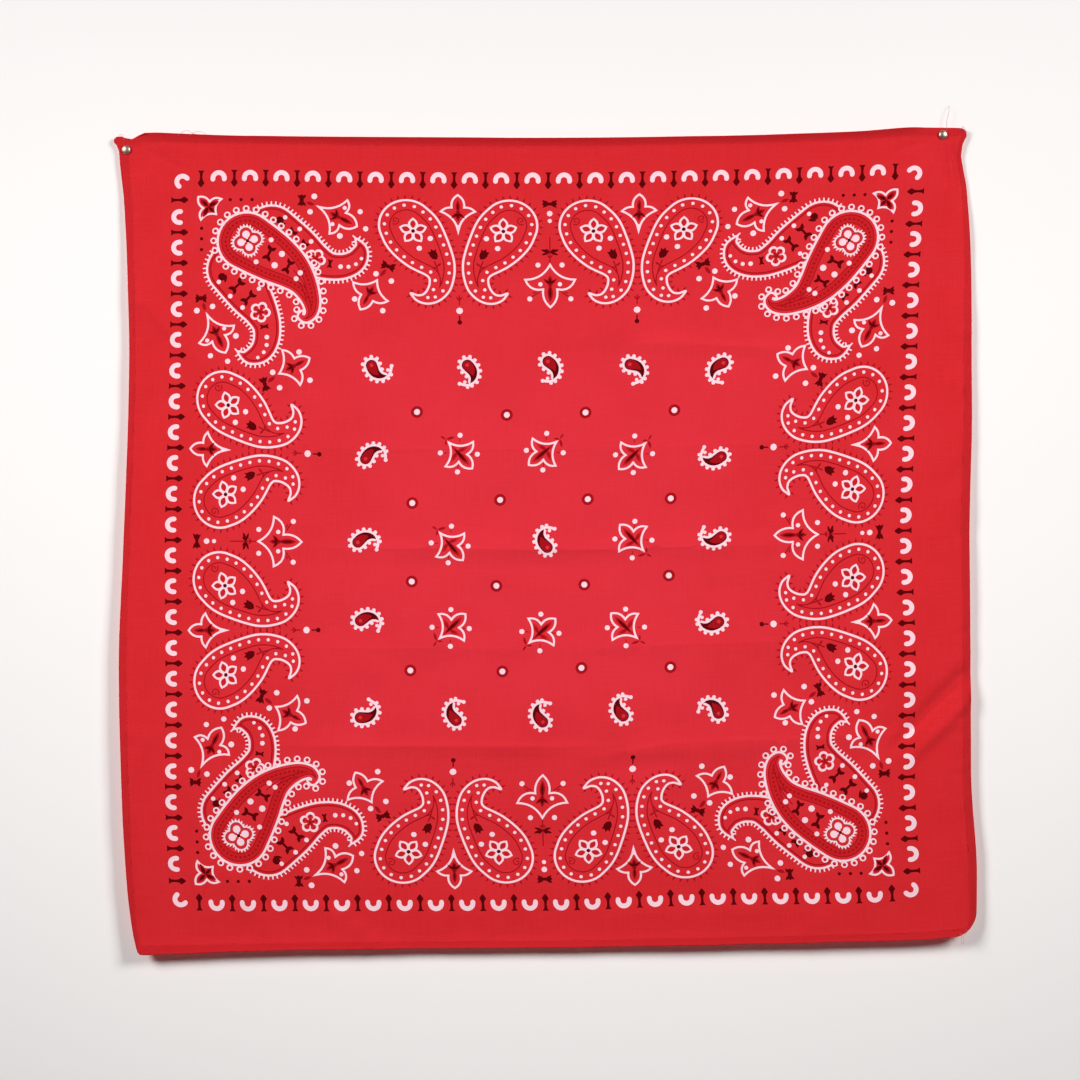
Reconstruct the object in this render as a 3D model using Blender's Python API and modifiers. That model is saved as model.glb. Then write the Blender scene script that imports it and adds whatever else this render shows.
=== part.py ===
"""Square cotton bandana pinned flat on a wall: a panel, four turned hems and two wall pins.

Frame: +X to the right, +Z up, and the cloth faces -Y. The wall is the plane y = 0. The origin
lies on the wall, midway between the two pins. Sizes below are in millimetres.
"""
from collections import namedtuple
from math import cos, exp, hypot, pi, sin

import bmesh
import bpy
from mathutils import Vector

MM = 0.001

# The finished cloth, laid flat.
CLOTH_WIDTH = 560.0
CLOTH_DROP = 538.0
CLOTH_WALL = 1.0
HEM_WIDTH = 6.5
SEAM_GAP = 0.3

# Lines of the flat cloth whose hanging places the two tables below give: the edges, and the
# border lines of the print inside them.
LINES_ACROSS = (0.0, 34.0, 522.0, CLOTH_WIDTH)
LINES_DOWN = (0.0, 26.0, 508.0, CLOTH_DROP)

# How far right of the origin the upright lines lie, from the top of the cloth to its bottom.
Down = namedtuple("Down", "down left_edge left_border right_border right_edge")
DOWN_STATIONS = (
    Down(0.0, -278.3, -235.8, 254.9, 284.3),
    Down(5.0, -277.6, -235.9, 254.7, 282.4),
    Down(11.0, -274.0, -236.0, 254.4, 280.3),
    Down(40.0, -271.4, -236.1, 253.3, 284.6),
    Down(110.0, -268.3, -236.4, 249.5, 288.1),
    Down(190.0, -268.5, -238.1, 247.0, 288.6),
    Down(270.0, -271.4, -240.1, 244.4, 286.6),
    Down(350.0, -274.4, -239.4, 247.0, 287.3),
    Down(430.0, -272.9, -239.7, 246.3, 287.9),
    Down(500.0, -268.5, -236.8, 250.3, 291.2),
    Down(526.0, -265.5, -235.6, 252.2, 291.0),
    Down(CLOTH_DROP, -261.9, -234.8, 253.0, 285.6),
)

# How far above the origin the level lines lie, from the left of the cloth to its right.
Across = namedtuple("Across", "across top_edge top_border bottom_border bottom_edge")
ACROSS_STATIONS = (
    Across(0.0, 4.2, -23.8, -501.9, -535.9),
    Across(8.0, 1.2, -23.6, -502.2, -536.3),
    Across(16.0, 4.0, -23.4, -502.5, -536.2),
    Across(34.0, 5.5, -23.1, -502.9, -535.8),
    Across(80.0, 3.6, -22.1, -503.9, -533.9),
    Across(170.0, 2.8, -23.4, -503.9, -532.5),
    Across(280.0, 2.3, -23.9, -503.6, -531.6),
    Across(390.0, 3.6, -22.1, -499.6, -529.8),
    Across(480.0, 6.6, -19.2, -498.5, -527.5),
    Across(522.0, 8.9, -17.5, -496.0, -526.5),
    Across(550.0, 8.9, -16.8, -494.0, -523.7),
    Across(CLOTH_WIDTH, 7.4, -16.8, -492.7, -520.4),
)

# How far the front of the cloth stands off the wall: at the left edge, just inside it, in the
# middle, just inside the right edge and at that edge, which curls back.
STAND_ACROSS = (0.0, 24.0, 280.0, 544.0, CLOTH_WIDTH)
Stand = namedtuple("Stand", "down left_edge left middle right right_edge")
STAND_STATIONS = (
    Stand(0.0, 5.2, 4.8, 5.0, 4.6, 4.4),
    Stand(7.0, 4.0, 3.8, 3.8, 3.8, 3.6),
    Stand(40.0, 5.2, 5.0, 4.6, 5.4, 4.2),
    Stand(150.0, 7.6, 7.0, 6.2, 8.0, 5.6),
    Stand(300.0, 9.6, 8.6, 7.2, 10.0, 7.4),
    Stand(430.0, 11.0, 9.6, 8.2, 11.0, 8.0),
    Stand(526.0, 11.4, 9.8, 8.4, 11.4, 8.4),
    Stand(CLOTH_DROP, 12.4, 11.2, 10.0, 12.0, 8.6),
)

# The creases that packing and the pins leave. Each runs from its start to its end over the
# flat cloth. It rises off the cloth by height, or sinks where that is negative, and fades
# sideways within about twice its reach.
Crease = namedtuple("Crease", "start_across start_down end_across end_down height reach")
LEVEL_CREASES = (
    Crease(262.0, 140.0, 486.0, 140.0, 1.3, 6.0),
    Crease(60.0, 206.0, 556.0, 206.0, 0.7, 7.0),
    Crease(70.0, 272.0, 570.0, 272.0, 1.9, 7.0),
    Crease(30.0, 338.0, 540.0, 338.0, 0.7, 7.0),
    Crease(80.0, 404.0, 575.0, 404.0, 1.6, 7.0),
)
UPRIGHT_CREASES = (
    Crease(137.0, 60.0, 137.0, 500.0, 0.8, 7.0),
    Crease(281.0, 60.0, 281.0, 300.0, 1.1, 7.0),
    Crease(434.0, 90.0, 434.0, 480.0, 0.8, 7.0),
)
SLANTED_CREASES = (
    Crease(566.0, 352.0, 505.0, 418.0, -2.6, 8.0),
    Crease(572.0, 368.0, 520.0, 424.0, 1.8, 7.0),
    Crease(-8.0, 90.0, 84.0, 182.0, 1.4, 10.0),
    Crease(552.0, 4.0, 556.0, 60.0, -1.4, 7.0),
    Crease(536.0, 6.0, 500.0, 66.0, 1.2, 10.0),
    Crease(18.0, 4.0, 62.0, 48.0, 1.2, 9.0),
    Crease(20.0, 120.0, 16.0, 240.0, -1.2, 9.0),
    Crease(540.0, 430.0, 470.0, 530.0, 1.2, 12.0),
)
CREASE_FADE = 0.3

# The panel's mesh lines: evenly spaced, with closer ones on the creases that run along them.
LINE_SPACING = 15.0
LINE_CLEARANCE = 5.0
CREASE_LINES = (-1.4, 0.0, 1.4)

# The wall pins: a shallow domed head on a thin shank, which runs through the cloth to the wall.
PINS = {"pin_left": (-270.0, -4.95), "pin_right": (270.0, 4.95)}
PIN_HEAD_RADIUS = 3.4
PIN_HEAD_RIM = 0.5
PIN_HEAD_DOME = 1.3
PIN_SHANK_RADIUS = 0.6
PIN_DEPTH_IN_WALL = 8.0
PIN_POINT = 2.0
PIN_SEAT_STAND = 3.6
PIN_SEAT_RADIUS = 9.0
PIN_SEAT_FADE = 16.0
PIN_SIDES = 20
DOME_STEPS = 4

# Base colour, roughness and metallic value.
COTTON = ("red_cotton", (0.75, 0.035, 0.045, 1.0), 0.85, 0.0)
STEEL = ("pin_steel", (0.62, 0.61, 0.60, 1.0), 0.28, 1.0)


def smooth_step(share):
    share = min(1.0, max(0.0, share))
    return share * share * (3.0 - 2.0 * share)


def slopes_along(places, values):
    """Slopes of a smooth curve through the values that never swings past them."""
    steps = [b - a for a, b in zip(places, places[1:])]
    rises = [(b - a) / step for a, b, step in zip(values, values[1:], steps)]
    slopes = [rises[0]]
    for before, after, step_before, step_after in zip(rises, rises[1:], steps, steps[1:]):
        if before * after <= 0.0:
            slopes.append(0.0)
            continue
        weight_before = 2.0 * step_after + step_before
        weight_after = step_after + 2.0 * step_before
        total = weight_before + weight_after
        slopes.append(total / (weight_before / before + weight_after / after))
    return slopes + [rises[-1]]


def follow(places, values, at):
    """Read a smooth curve through the values, which lie at the places, at one place."""
    slopes = slopes_along(places, values)
    index = 0
    while index < len(places) - 2 and at > places[index + 1]:
        index += 1
    step = places[index + 1] - places[index]
    share = (at - places[index]) / step
    rest = 1.0 - share
    return (
        values[index] * rest * rest * (1.0 + 2.0 * share)
        + values[index + 1] * share * share * (3.0 - 2.0 * share)
        + slopes[index] * step * share * rest * rest
        - slopes[index + 1] * step * share * share * rest
    )


def spread(lines, values, at):
    """Read the values of an edge, two border lines and the other edge at one place.

    They change evenly between the border lines, and bend from there to reach the edges.
    """
    even = (values[2] - values[1]) / (lines[2] - lines[1])
    if lines[1] <= at <= lines[2]:
        return values[1] + even * (at - lines[1])
    border, edge = (1, 0) if at < lines[1] else (2, 3)
    run = even * (lines[edge] - lines[border])
    share = (at - lines[border]) / (lines[edge] - lines[border])
    return values[border] + run * share + (values[edge] - values[border] - run) * share**2


def follow_table(stations, at):
    """Read each column of a table at one station."""
    places, *columns = zip(*stations)
    return [follow(places, column, at) for column in columns]


def crease_height(crease, across, down):
    """How far a crease lifts the cloth at a point of the flat cloth."""
    run_across = crease.end_across - crease.start_across
    run_down = crease.end_down - crease.start_down
    length = hypot(run_across, run_down)
    past_across = across - crease.start_across
    past_down = down - crease.start_down
    along = (past_across * run_across + past_down * run_down) / length**2
    aside = (past_across * run_down - past_down * run_across) / length
    fade = smooth_step(along / CREASE_FADE) * smooth_step((1.0 - along) / CREASE_FADE)
    return crease.height * fade * exp(-((aside / crease.reach) ** 2))


def stand_off(across, down, x, z):
    """How far the cloth's front stands off the wall, pressed in round the pins."""
    stand = follow(STAND_ACROSS, follow_table(STAND_STATIONS, down), across)
    for crease in LEVEL_CREASES + UPRIGHT_CREASES + SLANTED_CREASES:
        stand += crease_height(crease, across, down)
    for pin_x, pin_z in PINS.values():
        beyond = hypot(x - pin_x, z - pin_z) - PIN_SEAT_RADIUS
        pressed = 1.0 - smooth_step(beyond / PIN_SEAT_FADE)
        stand += (PIN_SEAT_STAND - stand) * pressed
    return stand


def hang(across, down, behind=0.0):
    """Where a point of the flat cloth hangs, or a point some way behind it."""
    x = spread(LINES_ACROSS, follow_table(DOWN_STATIONS, down), across)
    z = spread(LINES_DOWN, follow_table(ACROSS_STATIONS, across), down)
    return Vector((x, behind - stand_off(across, down, x, z), z)) * MM


def mesh_lines(length, creases_at):
    """The panel's lines along one side: both hems, each crease and even steps between."""
    lines = [0.0, HEM_WIDTH, length - HEM_WIDTH, length]
    for place, reach in creases_at:
        lines += [place + reach * offset for offset in CREASE_LINES]
    steps = round(length / LINE_SPACING)
    for step in range(1, steps):
        line = length * step / steps
        if min(abs(line - other) for other in lines) > LINE_CLEARANCE:
            lines.append(line)
    return sorted(lines)


def material(name, colour, roughness, metallic):
    """A plain Principled finish."""
    finish = bpy.data.materials.get(name) or bpy.data.materials.new(name)
    finish.use_nodes = True
    shader = finish.node_tree.nodes["Principled BSDF"]
    shader.inputs["Base Color"].default_value = colour
    shader.inputs["Roughness"].default_value = roughness
    shader.inputs["Metallic"].default_value = metallic
    return finish


def new_object(name, mesh, finish, collection):
    piece = bpy.data.objects.new(name, mesh)
    mesh.materials.append(finish)
    collection.objects.link(piece)
    return piece


def cloth_piece(name, lines_across, lines_down, behind, finish, collection):
    """A piece of the hanging cloth: its lines' crossings, moved back by the wall's thickness."""
    bm = bmesh.new()
    rows = [[bm.verts.new(hang(across, down, behind)) for across in lines_across]
            for down in lines_down]
    for upper, lower in zip(rows, rows[1:]):
        for left, right, low_left, low_right in zip(upper, upper[1:], lower, lower[1:]):
            bm.faces.new((left, low_left, low_right, right))
    bmesh.ops.triangulate(bm, faces=bm.faces[:])
    back = bmesh.ops.extrude_face_region(bm, geom=bm.faces[:])
    moved = [item for item in back["geom"] if isinstance(item, bmesh.types.BMVert)]
    bmesh.ops.translate(bm, verts=moved, vec=Vector((0.0, CLOTH_WALL * MM, 0.0)))
    bmesh.ops.recalc_face_normals(bm, faces=bm.faces[:])
    mesh = bpy.data.meshes.new(name)
    bm.to_mesh(mesh)
    bm.free()
    mesh.shade_smooth()
    mesh.set_sharp_from_angle(angle=pi / 4)
    return new_object(name, mesh, finish, collection)


def pin_profile():
    """Half of a pin's outline, from the middle of its head to its point, seen from the side."""
    seat = PIN_SEAT_STAND + SEAM_GAP
    outline = []
    for step in range(DOME_STEPS + 1):
        angle = pi / 2 * (1.0 - step / DOME_STEPS)
        outline.append((PIN_HEAD_RADIUS * cos(angle), seat + PIN_HEAD_RIM + PIN_HEAD_DOME * sin(angle)))
    outline += [
        (PIN_HEAD_RADIUS, seat),
        (PIN_SHANK_RADIUS, seat),
        (PIN_SHANK_RADIUS, PIN_POINT - PIN_DEPTH_IN_WALL),
        (0.0, -PIN_DEPTH_IN_WALL),
    ]
    return outline


def pin(name, place, finish, collection):
    """A turned pin, whose head faces -Y and whose shank runs into the wall."""
    bm = bmesh.new()
    points = [bm.verts.new((radius * MM, 0.0, height * MM)) for radius, height in pin_profile()]
    for start, end in zip(points, points[1:]):
        bm.edges.new((start, end))
    mesh = bpy.data.meshes.new(name)
    bm.to_mesh(mesh)
    bm.free()
    piece = new_object(name, mesh, finish, collection)
    piece.location = (place[0] * MM, 0.0, place[1] * MM)
    piece.rotation_euler = (pi / 2, 0.0, 0.0)
    turn = piece.modifiers.new("turned", "SCREW")
    turn.steps = PIN_SIDES
    turn.render_steps = PIN_SIDES
    turn.use_merge_vertices = True
    turn.merge_threshold = 0.0001
    return piece


def pin_hole_cutter(name, place, collection):
    """A rod a little thicker than a pin's shank, which cuts its way through the cloth."""
    bm = bmesh.new()
    radius = (PIN_SHANK_RADIUS + SEAM_GAP) * MM
    depth = 2.0 * (PIN_SEAT_STAND + SEAM_GAP) * MM
    bmesh.ops.create_cone(bm, cap_ends=True, segments=PIN_SIDES, radius1=radius,
                          radius2=radius, depth=depth)
    mesh = bpy.data.meshes.new(name)
    bm.to_mesh(mesh)
    bm.free()
    cutter = bpy.data.objects.new(name, mesh)
    cutter.location = (place[0] * MM, -PIN_SEAT_STAND * MM, place[1] * MM)
    cutter.rotation_euler = (pi / 2, 0.0, 0.0)
    cutter.hide_render = True
    cutter.display_type = "WIRE"
    collection.objects.link(cutter)
    return cutter


def pierce(piece, cutter):
    hole = piece.modifiers.new("pin hole", "BOOLEAN")
    hole.object = cutter
    hole.operation = "DIFFERENCE"
    hole.solver = "EXACT"


def clear_scene():
    for old in list(bpy.data.objects):
        bpy.data.objects.remove(old, do_unlink=True)


def new_collection(name):
    collection = bpy.data.collections.new(name)
    bpy.context.scene.collection.children.link(collection)
    return collection


def build_bandana():
    clear_scene()
    bandana = new_collection("bandana")
    cutters = new_collection("cutters")
    cotton = material(*COTTON)
    steel = material(*STEEL)

    across = mesh_lines(CLOTH_WIDTH, [(c.start_across, c.reach) for c in UPRIGHT_CREASES])
    down = mesh_lines(CLOTH_DROP, [(c.start_down, c.reach) for c in LEVEL_CREASES])
    panel = cloth_piece("panel", across, down, 0.0, cotton, bandana)

    behind = CLOTH_WALL + SEAM_GAP
    between_hems = [HEM_WIDTH + SEAM_GAP, *down[2:-2], CLOTH_DROP - HEM_WIDTH - SEAM_GAP]
    hems = {
        "hem_top": (across, down[:2]),
        "hem_bottom": (across, down[-2:]),
        "hem_left": (across[:2], between_hems),
        "hem_right": (across[-2:], between_hems),
    }
    pieces = {name: cloth_piece(name, *lines, behind, cotton, bandana)
              for name, lines in hems.items()}

    pierced = {
        "pin_left": (panel, pieces["hem_top"], pieces["hem_left"]),
        "pin_right": (panel, pieces["hem_top"]),
    }
    for name, place in PINS.items():
        pin(name, place, steel, bandana)
        cutter = pin_hole_cutter(name + "_hole", place, cutters)
        for piece in pierced[name]:
            pierce(piece, cutter)


build_bandana()
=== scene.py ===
"""Square paisley bandana hung by two wall pins: its printed cloth, hems, stitches, loose threads and pins.

Frame: +X to the right, +Z up, the cloth faces -Y and the wall is the plane y = 0. Tables and sizes are in
millimetres, and objects in metres. A point of the flat cloth is given as across from its left edge and down
from its top, and a point of the print as right and down from its middle.
"""
from math import pi, radians

import bpy
import numpy as np
from bpy.props import FloatProperty, FloatVectorProperty, IntProperty, PointerProperty
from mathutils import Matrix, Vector, geometry


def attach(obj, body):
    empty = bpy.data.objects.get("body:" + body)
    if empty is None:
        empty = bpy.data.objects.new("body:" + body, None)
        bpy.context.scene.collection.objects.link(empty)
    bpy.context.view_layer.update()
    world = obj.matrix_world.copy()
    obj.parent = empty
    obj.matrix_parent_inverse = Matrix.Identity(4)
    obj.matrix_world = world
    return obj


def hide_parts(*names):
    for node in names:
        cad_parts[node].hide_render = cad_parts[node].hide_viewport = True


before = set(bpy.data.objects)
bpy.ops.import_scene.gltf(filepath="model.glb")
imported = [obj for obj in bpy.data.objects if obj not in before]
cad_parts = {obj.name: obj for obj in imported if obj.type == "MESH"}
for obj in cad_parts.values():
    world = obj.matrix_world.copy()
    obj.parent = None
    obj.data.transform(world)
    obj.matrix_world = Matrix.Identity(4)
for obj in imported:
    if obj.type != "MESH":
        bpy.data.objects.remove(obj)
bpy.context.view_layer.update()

bl_info = {
    "name": "Pinned Paisley Bandana",
    "version": (1, 0, 0),
    "blender": (4, 5, 0),
    "location": "3D View > Sidebar > Bandana",
    "description": "Makes a square printed bandana that hangs from two wall pins",
    "category": "Add Mesh",
}

MM = 0.001

# ------------------------------------------------------------------------------------------------
# The hang of the cloth
# ------------------------------------------------------------------------------------------------

# Lines of the flat cloth whose hanging places the two tables below give: the edges, and the
# border lines of the print inside them.
CLOTH_WIDTH = 560.0
CLOTH_DROP = 538.0
LINES_ACROSS = (0.0, 34.0, 522.0, CLOTH_WIDTH)
LINES_DOWN = (0.0, 26.0, 508.0, CLOTH_DROP)

# How far right of the origin the upright lines lie, from the top of the cloth to its bottom.
DOWN_STATIONS = (
    # down, left edge, left border, right border, right edge
    (0.0, -279.4, -235.8, 254.9, 286.0),
    (4.5, -279.0, -235.9, 254.8, 286.0),
    (7.4, -276.1, -236.0, 254.7, 284.4),
    (10.0, -275.0, -236.0, 254.6, 283.3),
    (16.0, -274.5, -236.0, 254.3, 282.2),
    (26.0, -273.4, -236.0, 254.0, 283.7),
    (40.0, -271.8, -236.1, 253.3, 286.1),
    (110.0, -268.6, -236.4, 249.5, 289.1),
    (144.0, -267.9, -237.1, 248.6, 289.0),
    (190.0, -268.7, -238.1, 247.0, 289.2),
    (270.0, -271.5, -240.1, 244.4, 287.4),
    (350.0, -274.4, -239.4, 247.0, 288.0),
    (430.0, -272.6, -239.7, 246.3, 288.3),
    (500.0, -268.6, -236.8, 250.3, 292.1),
    (526.0, -265.0, -235.6, 252.2, 291.7),
    (CLOTH_DROP, -261.7, -234.8, 253.0, 290.4),
)

# How far above the origin the level lines lie, from the left of the cloth to its right.
ACROSS_STATIONS = (
    # across, top edge, top border, bottom border, bottom edge
    (0.0, 7.2, -23.8, -501.9, -535.9),
    (4.0, 4.4, -23.7, -502.0, -536.1),
    (8.0, 1.9, -23.6, -502.2, -536.3),
    (11.0, 3.9, -23.5, -502.3, -536.3),
    (14.5, 6.2, -23.4, -502.4, -536.2),
    (19.0, 6.3, -23.3, -502.6, -536.1),
    (34.0, 5.7, -23.1, -502.9, -535.8),
    (80.0, 4.1, -22.1, -503.9, -533.9),
    (170.0, 3.3, -23.4, -503.9, -532.5),
    (280.0, 2.8, -23.9, -503.6, -531.6),
    (390.0, 4.1, -22.1, -499.6, -529.8),
    (480.0, 7.1, -19.2, -498.5, -527.5),
    (522.0, 9.9, -17.5, -496.0, -526.3),
    (550.0, 9.7, -16.8, -494.0, -524.0),
    (CLOTH_WIDTH, 8.8, -16.8, -492.7, -523.6),
)

# How far the front of the cloth stands off the wall, at five places across.
STAND_ACROSS = (0.0, 24.0, 280.0, 544.0, CLOTH_WIDTH)
STAND_STATIONS = (
    # down, left edge, left, middle, right, right edge
    (0.0, 5.2, 4.8, 5.0, 4.6, 4.4),
    (7.0, 4.0, 3.8, 3.8, 3.8, 3.6),
    (40.0, 5.2, 5.0, 4.6, 5.4, 4.2),
    (150.0, 7.6, 7.0, 6.2, 8.0, 5.6),
    (300.0, 9.6, 8.6, 7.2, 10.0, 7.4),
    (430.0, 11.0, 9.6, 8.2, 11.0, 8.0),
    (526.0, 11.4, 9.8, 8.4, 11.4, 8.4),
    (CLOTH_DROP, 12.4, 11.2, 10.0, 12.0, 8.6),
)

# Creases that packing and the pins leave, each from its start to its end over the flat cloth. A crease rises
# by its height, or sinks where that is below zero, and fades sideways within about twice its reach.
BROAD_CREASES = (
    # start across, start down, end across, end down, height, reach
    (262.0, 132.0, 486.0, 146.0, 0.75, 5.5),
    (60.0, 206.0, 556.0, 206.0, 0.35, 7.0),
    (70.0, 272.0, 570.0, 272.0, 0.70, 5.5),
    (30.0, 338.0, 540.0, 338.0, 0.35, 7.0),
    (80.0, 402.0, 330.0, 404.0, 0.70, 5.0),
    (270.0, 410.0, 575.0, 401.0, 0.50, 6.0),
    (137.0, 60.0, 137.0, 500.0, 0.35, 7.0),
    (281.0, 60.0, 281.0, 300.0, 0.40, 7.0),
    (434.0, 90.0, 434.0, 480.0, 0.35, 7.0),
    (568.0, 350.0, 505.0, 418.0, -2.2, 5.0),
    (576.0, 364.0, 516.0, 426.0, 1.9, 4.6),
    (-8.0, 90.0, 60.0, 158.0, 1.1, 7.0),
    (552.0, 4.0, 556.0, 60.0, -1.4, 5.0),
    (536.0, 6.0, 500.0, 66.0, 0.8, 9.0),
    (18.0, 4.0, 62.0, 48.0, 0.8, 8.0),
    (20.0, 120.0, 16.0, 240.0, -0.8, 9.0),
    (540.0, 430.0, 470.0, 530.0, 0.8, 12.0),
    (60.0, 470.0, 108.0, 548.0, 1.0, 6.0),
    (120.0, 500.0, 182.0, 548.0, 1.0, 5.0),
    (300.0, 520.0, 470.0, 512.0, 0.5, 7.0),
)
# The sharp tops of the pressed creases, and the small dents beside them.
SHARP_CREASES = (
    # start across, start down, end across, end down, height, reach
    (240.0, 128.0, 470.0, 145.0, 0.20, 1.4),
    (70.0, 206.4, 330.0, 205.8, 0.14, 1.4),
    (300.0, 206.2, 520.0, 206.6, 0.10, 1.6),
    (96.0, 271.0, 490.0, 274.6, 0.26, 1.2),
    (420.0, 271.8, 570.0, 271.0, 0.14, 1.4),
    (150.0, 280.5, 330.0, 282.0, -0.26, 3.4),
    (60.0, 337.4, 300.0, 338.8, 0.12, 1.4),
    (280.0, 339.0, 540.0, 336.6, 0.14, 1.4),
    (90.0, 402.2, 360.0, 403.6, 0.22, 1.3),
    (300.0, 412.0, 380.0, 402.0, 0.24, 1.6),
    (350.0, 404.0, 552.0, 400.6, 0.18, 1.4),
    (200.0, 411.4, 420.0, 414.2, -0.22, 3.4),
    (137.4, 80.0, 136.6, 250.0, 0.08, 1.8),
    (136.8, 290.0, 137.4, 470.0, 0.07, 1.8),
    (281.2, 76.0, 280.6, 280.0, 0.10, 1.8),
    (433.6, 110.0, 434.4, 260.0, 0.08, 1.8),
    (434.2, 300.0, 433.6, 460.0, 0.07, 1.8),
    (564.0, 362.0, 512.0, 412.0, -0.80, 2.0),
    (520.0, 384.0, 470.0, 440.0, -0.55, 5.0),
    (540.0, 148.0, 560.0, 186.0, 0.65, 2.4),
    (6.0, 104.0, 36.0, 136.0, 0.50, 2.0),
    (36.0, 20.0, 70.0, 74.0, -0.55, 4.6),
    (22.0, 30.0, 40.0, 86.0, 0.30, 4.5),
    (545.0, 12.0, 534.0, 84.0, -0.75, 3.4),
    (538.0, 14.0, 470.0, 44.0, -0.45, 4.4),
    (-3.0, 9.0, 9.0, -4.0, 0.9, 2.6),
    (563.0, 12.0, 549.0, -3.0, 0.8, 2.6),
    (352.0, 292.0, 424.0, 306.0, -0.75, 9.0),
    (300.0, 424.0, 384.0, 414.0, -0.70, 6.0),
    (218.0, 288.0, 300.0, 302.0, 0.40, 9.0),
    (396.0, 330.0, 450.0, 318.0, 0.35, 8.0),
    (560.0, 214.0, 540.0, 258.0, -0.45, 3.6),
    (2.0, 176.0, 22.0, 226.0, -0.40, 3.6),
    (8.0, 318.0, 34.0, 352.0, 0.35, 3.4),
    (4.0, 424.0, 26.0, 388.0, 0.35, 4.0),
    (216.0, 536.0, 262.0, 514.0, 0.35, 4.2),
    (432.0, 538.0, 470.0, 516.0, 0.40, 4.4),
)
# The puckers that run out from the pins.
PIN_CREASES = (
    # start across, start down, end across, end down, height, reach
    (547.5, 5.0, 554.0, 44.0, -1.1, 2.0),
    (541.5, 9.5, 543.0, 40.0, -0.9, 1.9),
    (536.5, 10.0, 520.0, 46.0, 0.5, 2.6),
    (534.0, 5.0, 500.0, 17.0, -0.5, 2.2),
    (12.5, 8.5, 46.0, 24.0, -0.9, 2.0),
    (12.0, 13.0, 30.0, 48.0, 0.5, 2.4),
    (14.0, 5.0, 52.0, 12.0, 0.4, 2.4),
)
# The share of a crease over which it fades in at its start, and out at its end.
CREASE_FADE = 0.3

# Low ripples all over the cloth.
RIPPLES = (
    # length, turn, height, sway, length of the sway, start
    (83.0, 0.04, 0.16, 22.0, 190.0, 0.10),
    (61.0, 0.27, 0.17, 17.0, 150.0, 0.55),
    (47.0, 0.14, 0.12, 13.0, 120.0, 0.30),
    (37.0, 0.39, 0.09, 11.0, 90.0, 0.80),
    (29.0, 0.23, 0.045, 8.0, 70.0, 0.65),
    (21.0, 0.02, 0.030, 6.0, 55.0, 0.20),
)

# The pucker that the stitching draws along each edge.
PUCKER_HEIGHT = 0.17
PUCKER_LENGTHS = (9.3, 13.7)
PUCKER_PLACE = 4.5
PUCKER_REACH = 6.0

# How far the left, right, top and bottom edges round back, from EDGE_ROUND in. Below zero leans forward.
EDGE_ROUND = 4.6
EDGE_DROPS = (1.7, 1.7, -1.2, -0.4)

# How round the corners are.
CORNERS = (
    # at the right, at the bottom, radius
    (False, False, 6.0), (True, False, 5.0), (False, True, 3.5), (True, True, 14.0),
)

# Where the pins press the cloth in: x and z of each, how far the cloth stands off the wall there, the
# radius of its seat and how far round that it fades.
PINS = {"pin_left": (-270.0, -4.95), "pin_right": (270.0, 4.95)}
PIN_SEAT_STAND = 3.6
PIN_SEAT_RADIUS = 9.0
PIN_SEAT_FADE = 16.0


def smooth_step(share):
    share = np.clip(share, 0.0, 1.0)
    return share * share * (3.0 - 2.0 * share)


def follow(places, values, at):
    """Reads smooth curves that never swing past their values. Each row of values has its own place in at."""
    places, values = np.asarray(places, float), np.atleast_2d(values)
    steps = np.diff(places)
    rises = np.diff(values, axis=1) / steps
    before, after = rises[:, :-1], rises[:, 1:]
    weight_before, weight_after = 2.0 * steps[1:] + steps[:-1], steps[1:] + 2.0 * steps[:-1]
    with np.errstate(divide="ignore", invalid="ignore"):
        middle = (weight_before + weight_after) / (weight_before / before + weight_after / after)
    middle = np.where(before * after > 0.0, middle, 0.0)
    slopes = np.concatenate([rises[:, :1], middle, rises[:, -1:]], axis=1)
    index = np.clip(np.searchsorted(places, at, side="left") - 1, 0, len(places) - 2)
    row = np.arange(len(at)) if len(values) > 1 else 0
    step = steps[index]
    share = (at - places[index]) / step
    rest = 1.0 - share
    return (
        values[row, index] * rest * rest * (1.0 + 2.0 * share)
        + values[row, index + 1] * share * share * (3.0 - 2.0 * share)
        + slopes[row, index] * step * share * rest * rest
        - slopes[row, index + 1] * step * share * share * rest
    )


def follow_table(stations, at):
    table = np.array(stations)
    return [follow(table[:, 0], column, at) for column in table[:, 1:].T]


def spread(lines, values, at):
    """Reads an edge, two border lines and the other edge: even between the borders, bending to the edges."""
    even = (values[2] - values[1]) / (lines[2] - lines[1])
    near = at < lines[1]
    border, edge = np.where(near, lines[1], lines[2]), np.where(near, lines[0], lines[3])
    start, end = np.where(near, values[1], values[2]), np.where(near, values[0], values[3])
    run, share = even * (edge - border), (at - border) / (edge - border)
    inside = (at >= lines[1]) & (at <= lines[2])
    bending = start + run * share + (end - start - run) * share**2
    return np.where(inside, values[1] + even * (at - lines[1]), bending)


def crease_height(crease, across, down):
    start_across, start_down, end_across, end_down, height, reach = crease
    run = complex(end_across - start_across, end_down - start_down)
    past = (across - start_across) + 1j * (down - start_down)
    share = past * run.conjugate() / abs(run) ** 2
    fade = smooth_step(share.real / CREASE_FADE) * smooth_step((1.0 - share.real) / CREASE_FADE)
    return height * fade * np.exp(-((share.imag * abs(run) / reach) ** 2))


def ripple_height(ripple, across, down):
    length, turn, height, sway, sway_length, start = ripple
    place = (across + 1j * down) * spin(-turn)
    aside = sway * np.sin(2.0 * pi * (place.imag / sway_length + start))
    return height * np.sin(2.0 * pi * ((place.real + aside) / length + start))


def from_edges(across, down):
    """How far in from the left, right, top and bottom edges of the flat cloth."""
    return across, CLOTH_WIDTH - across, down, CLOTH_DROP - down


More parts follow.
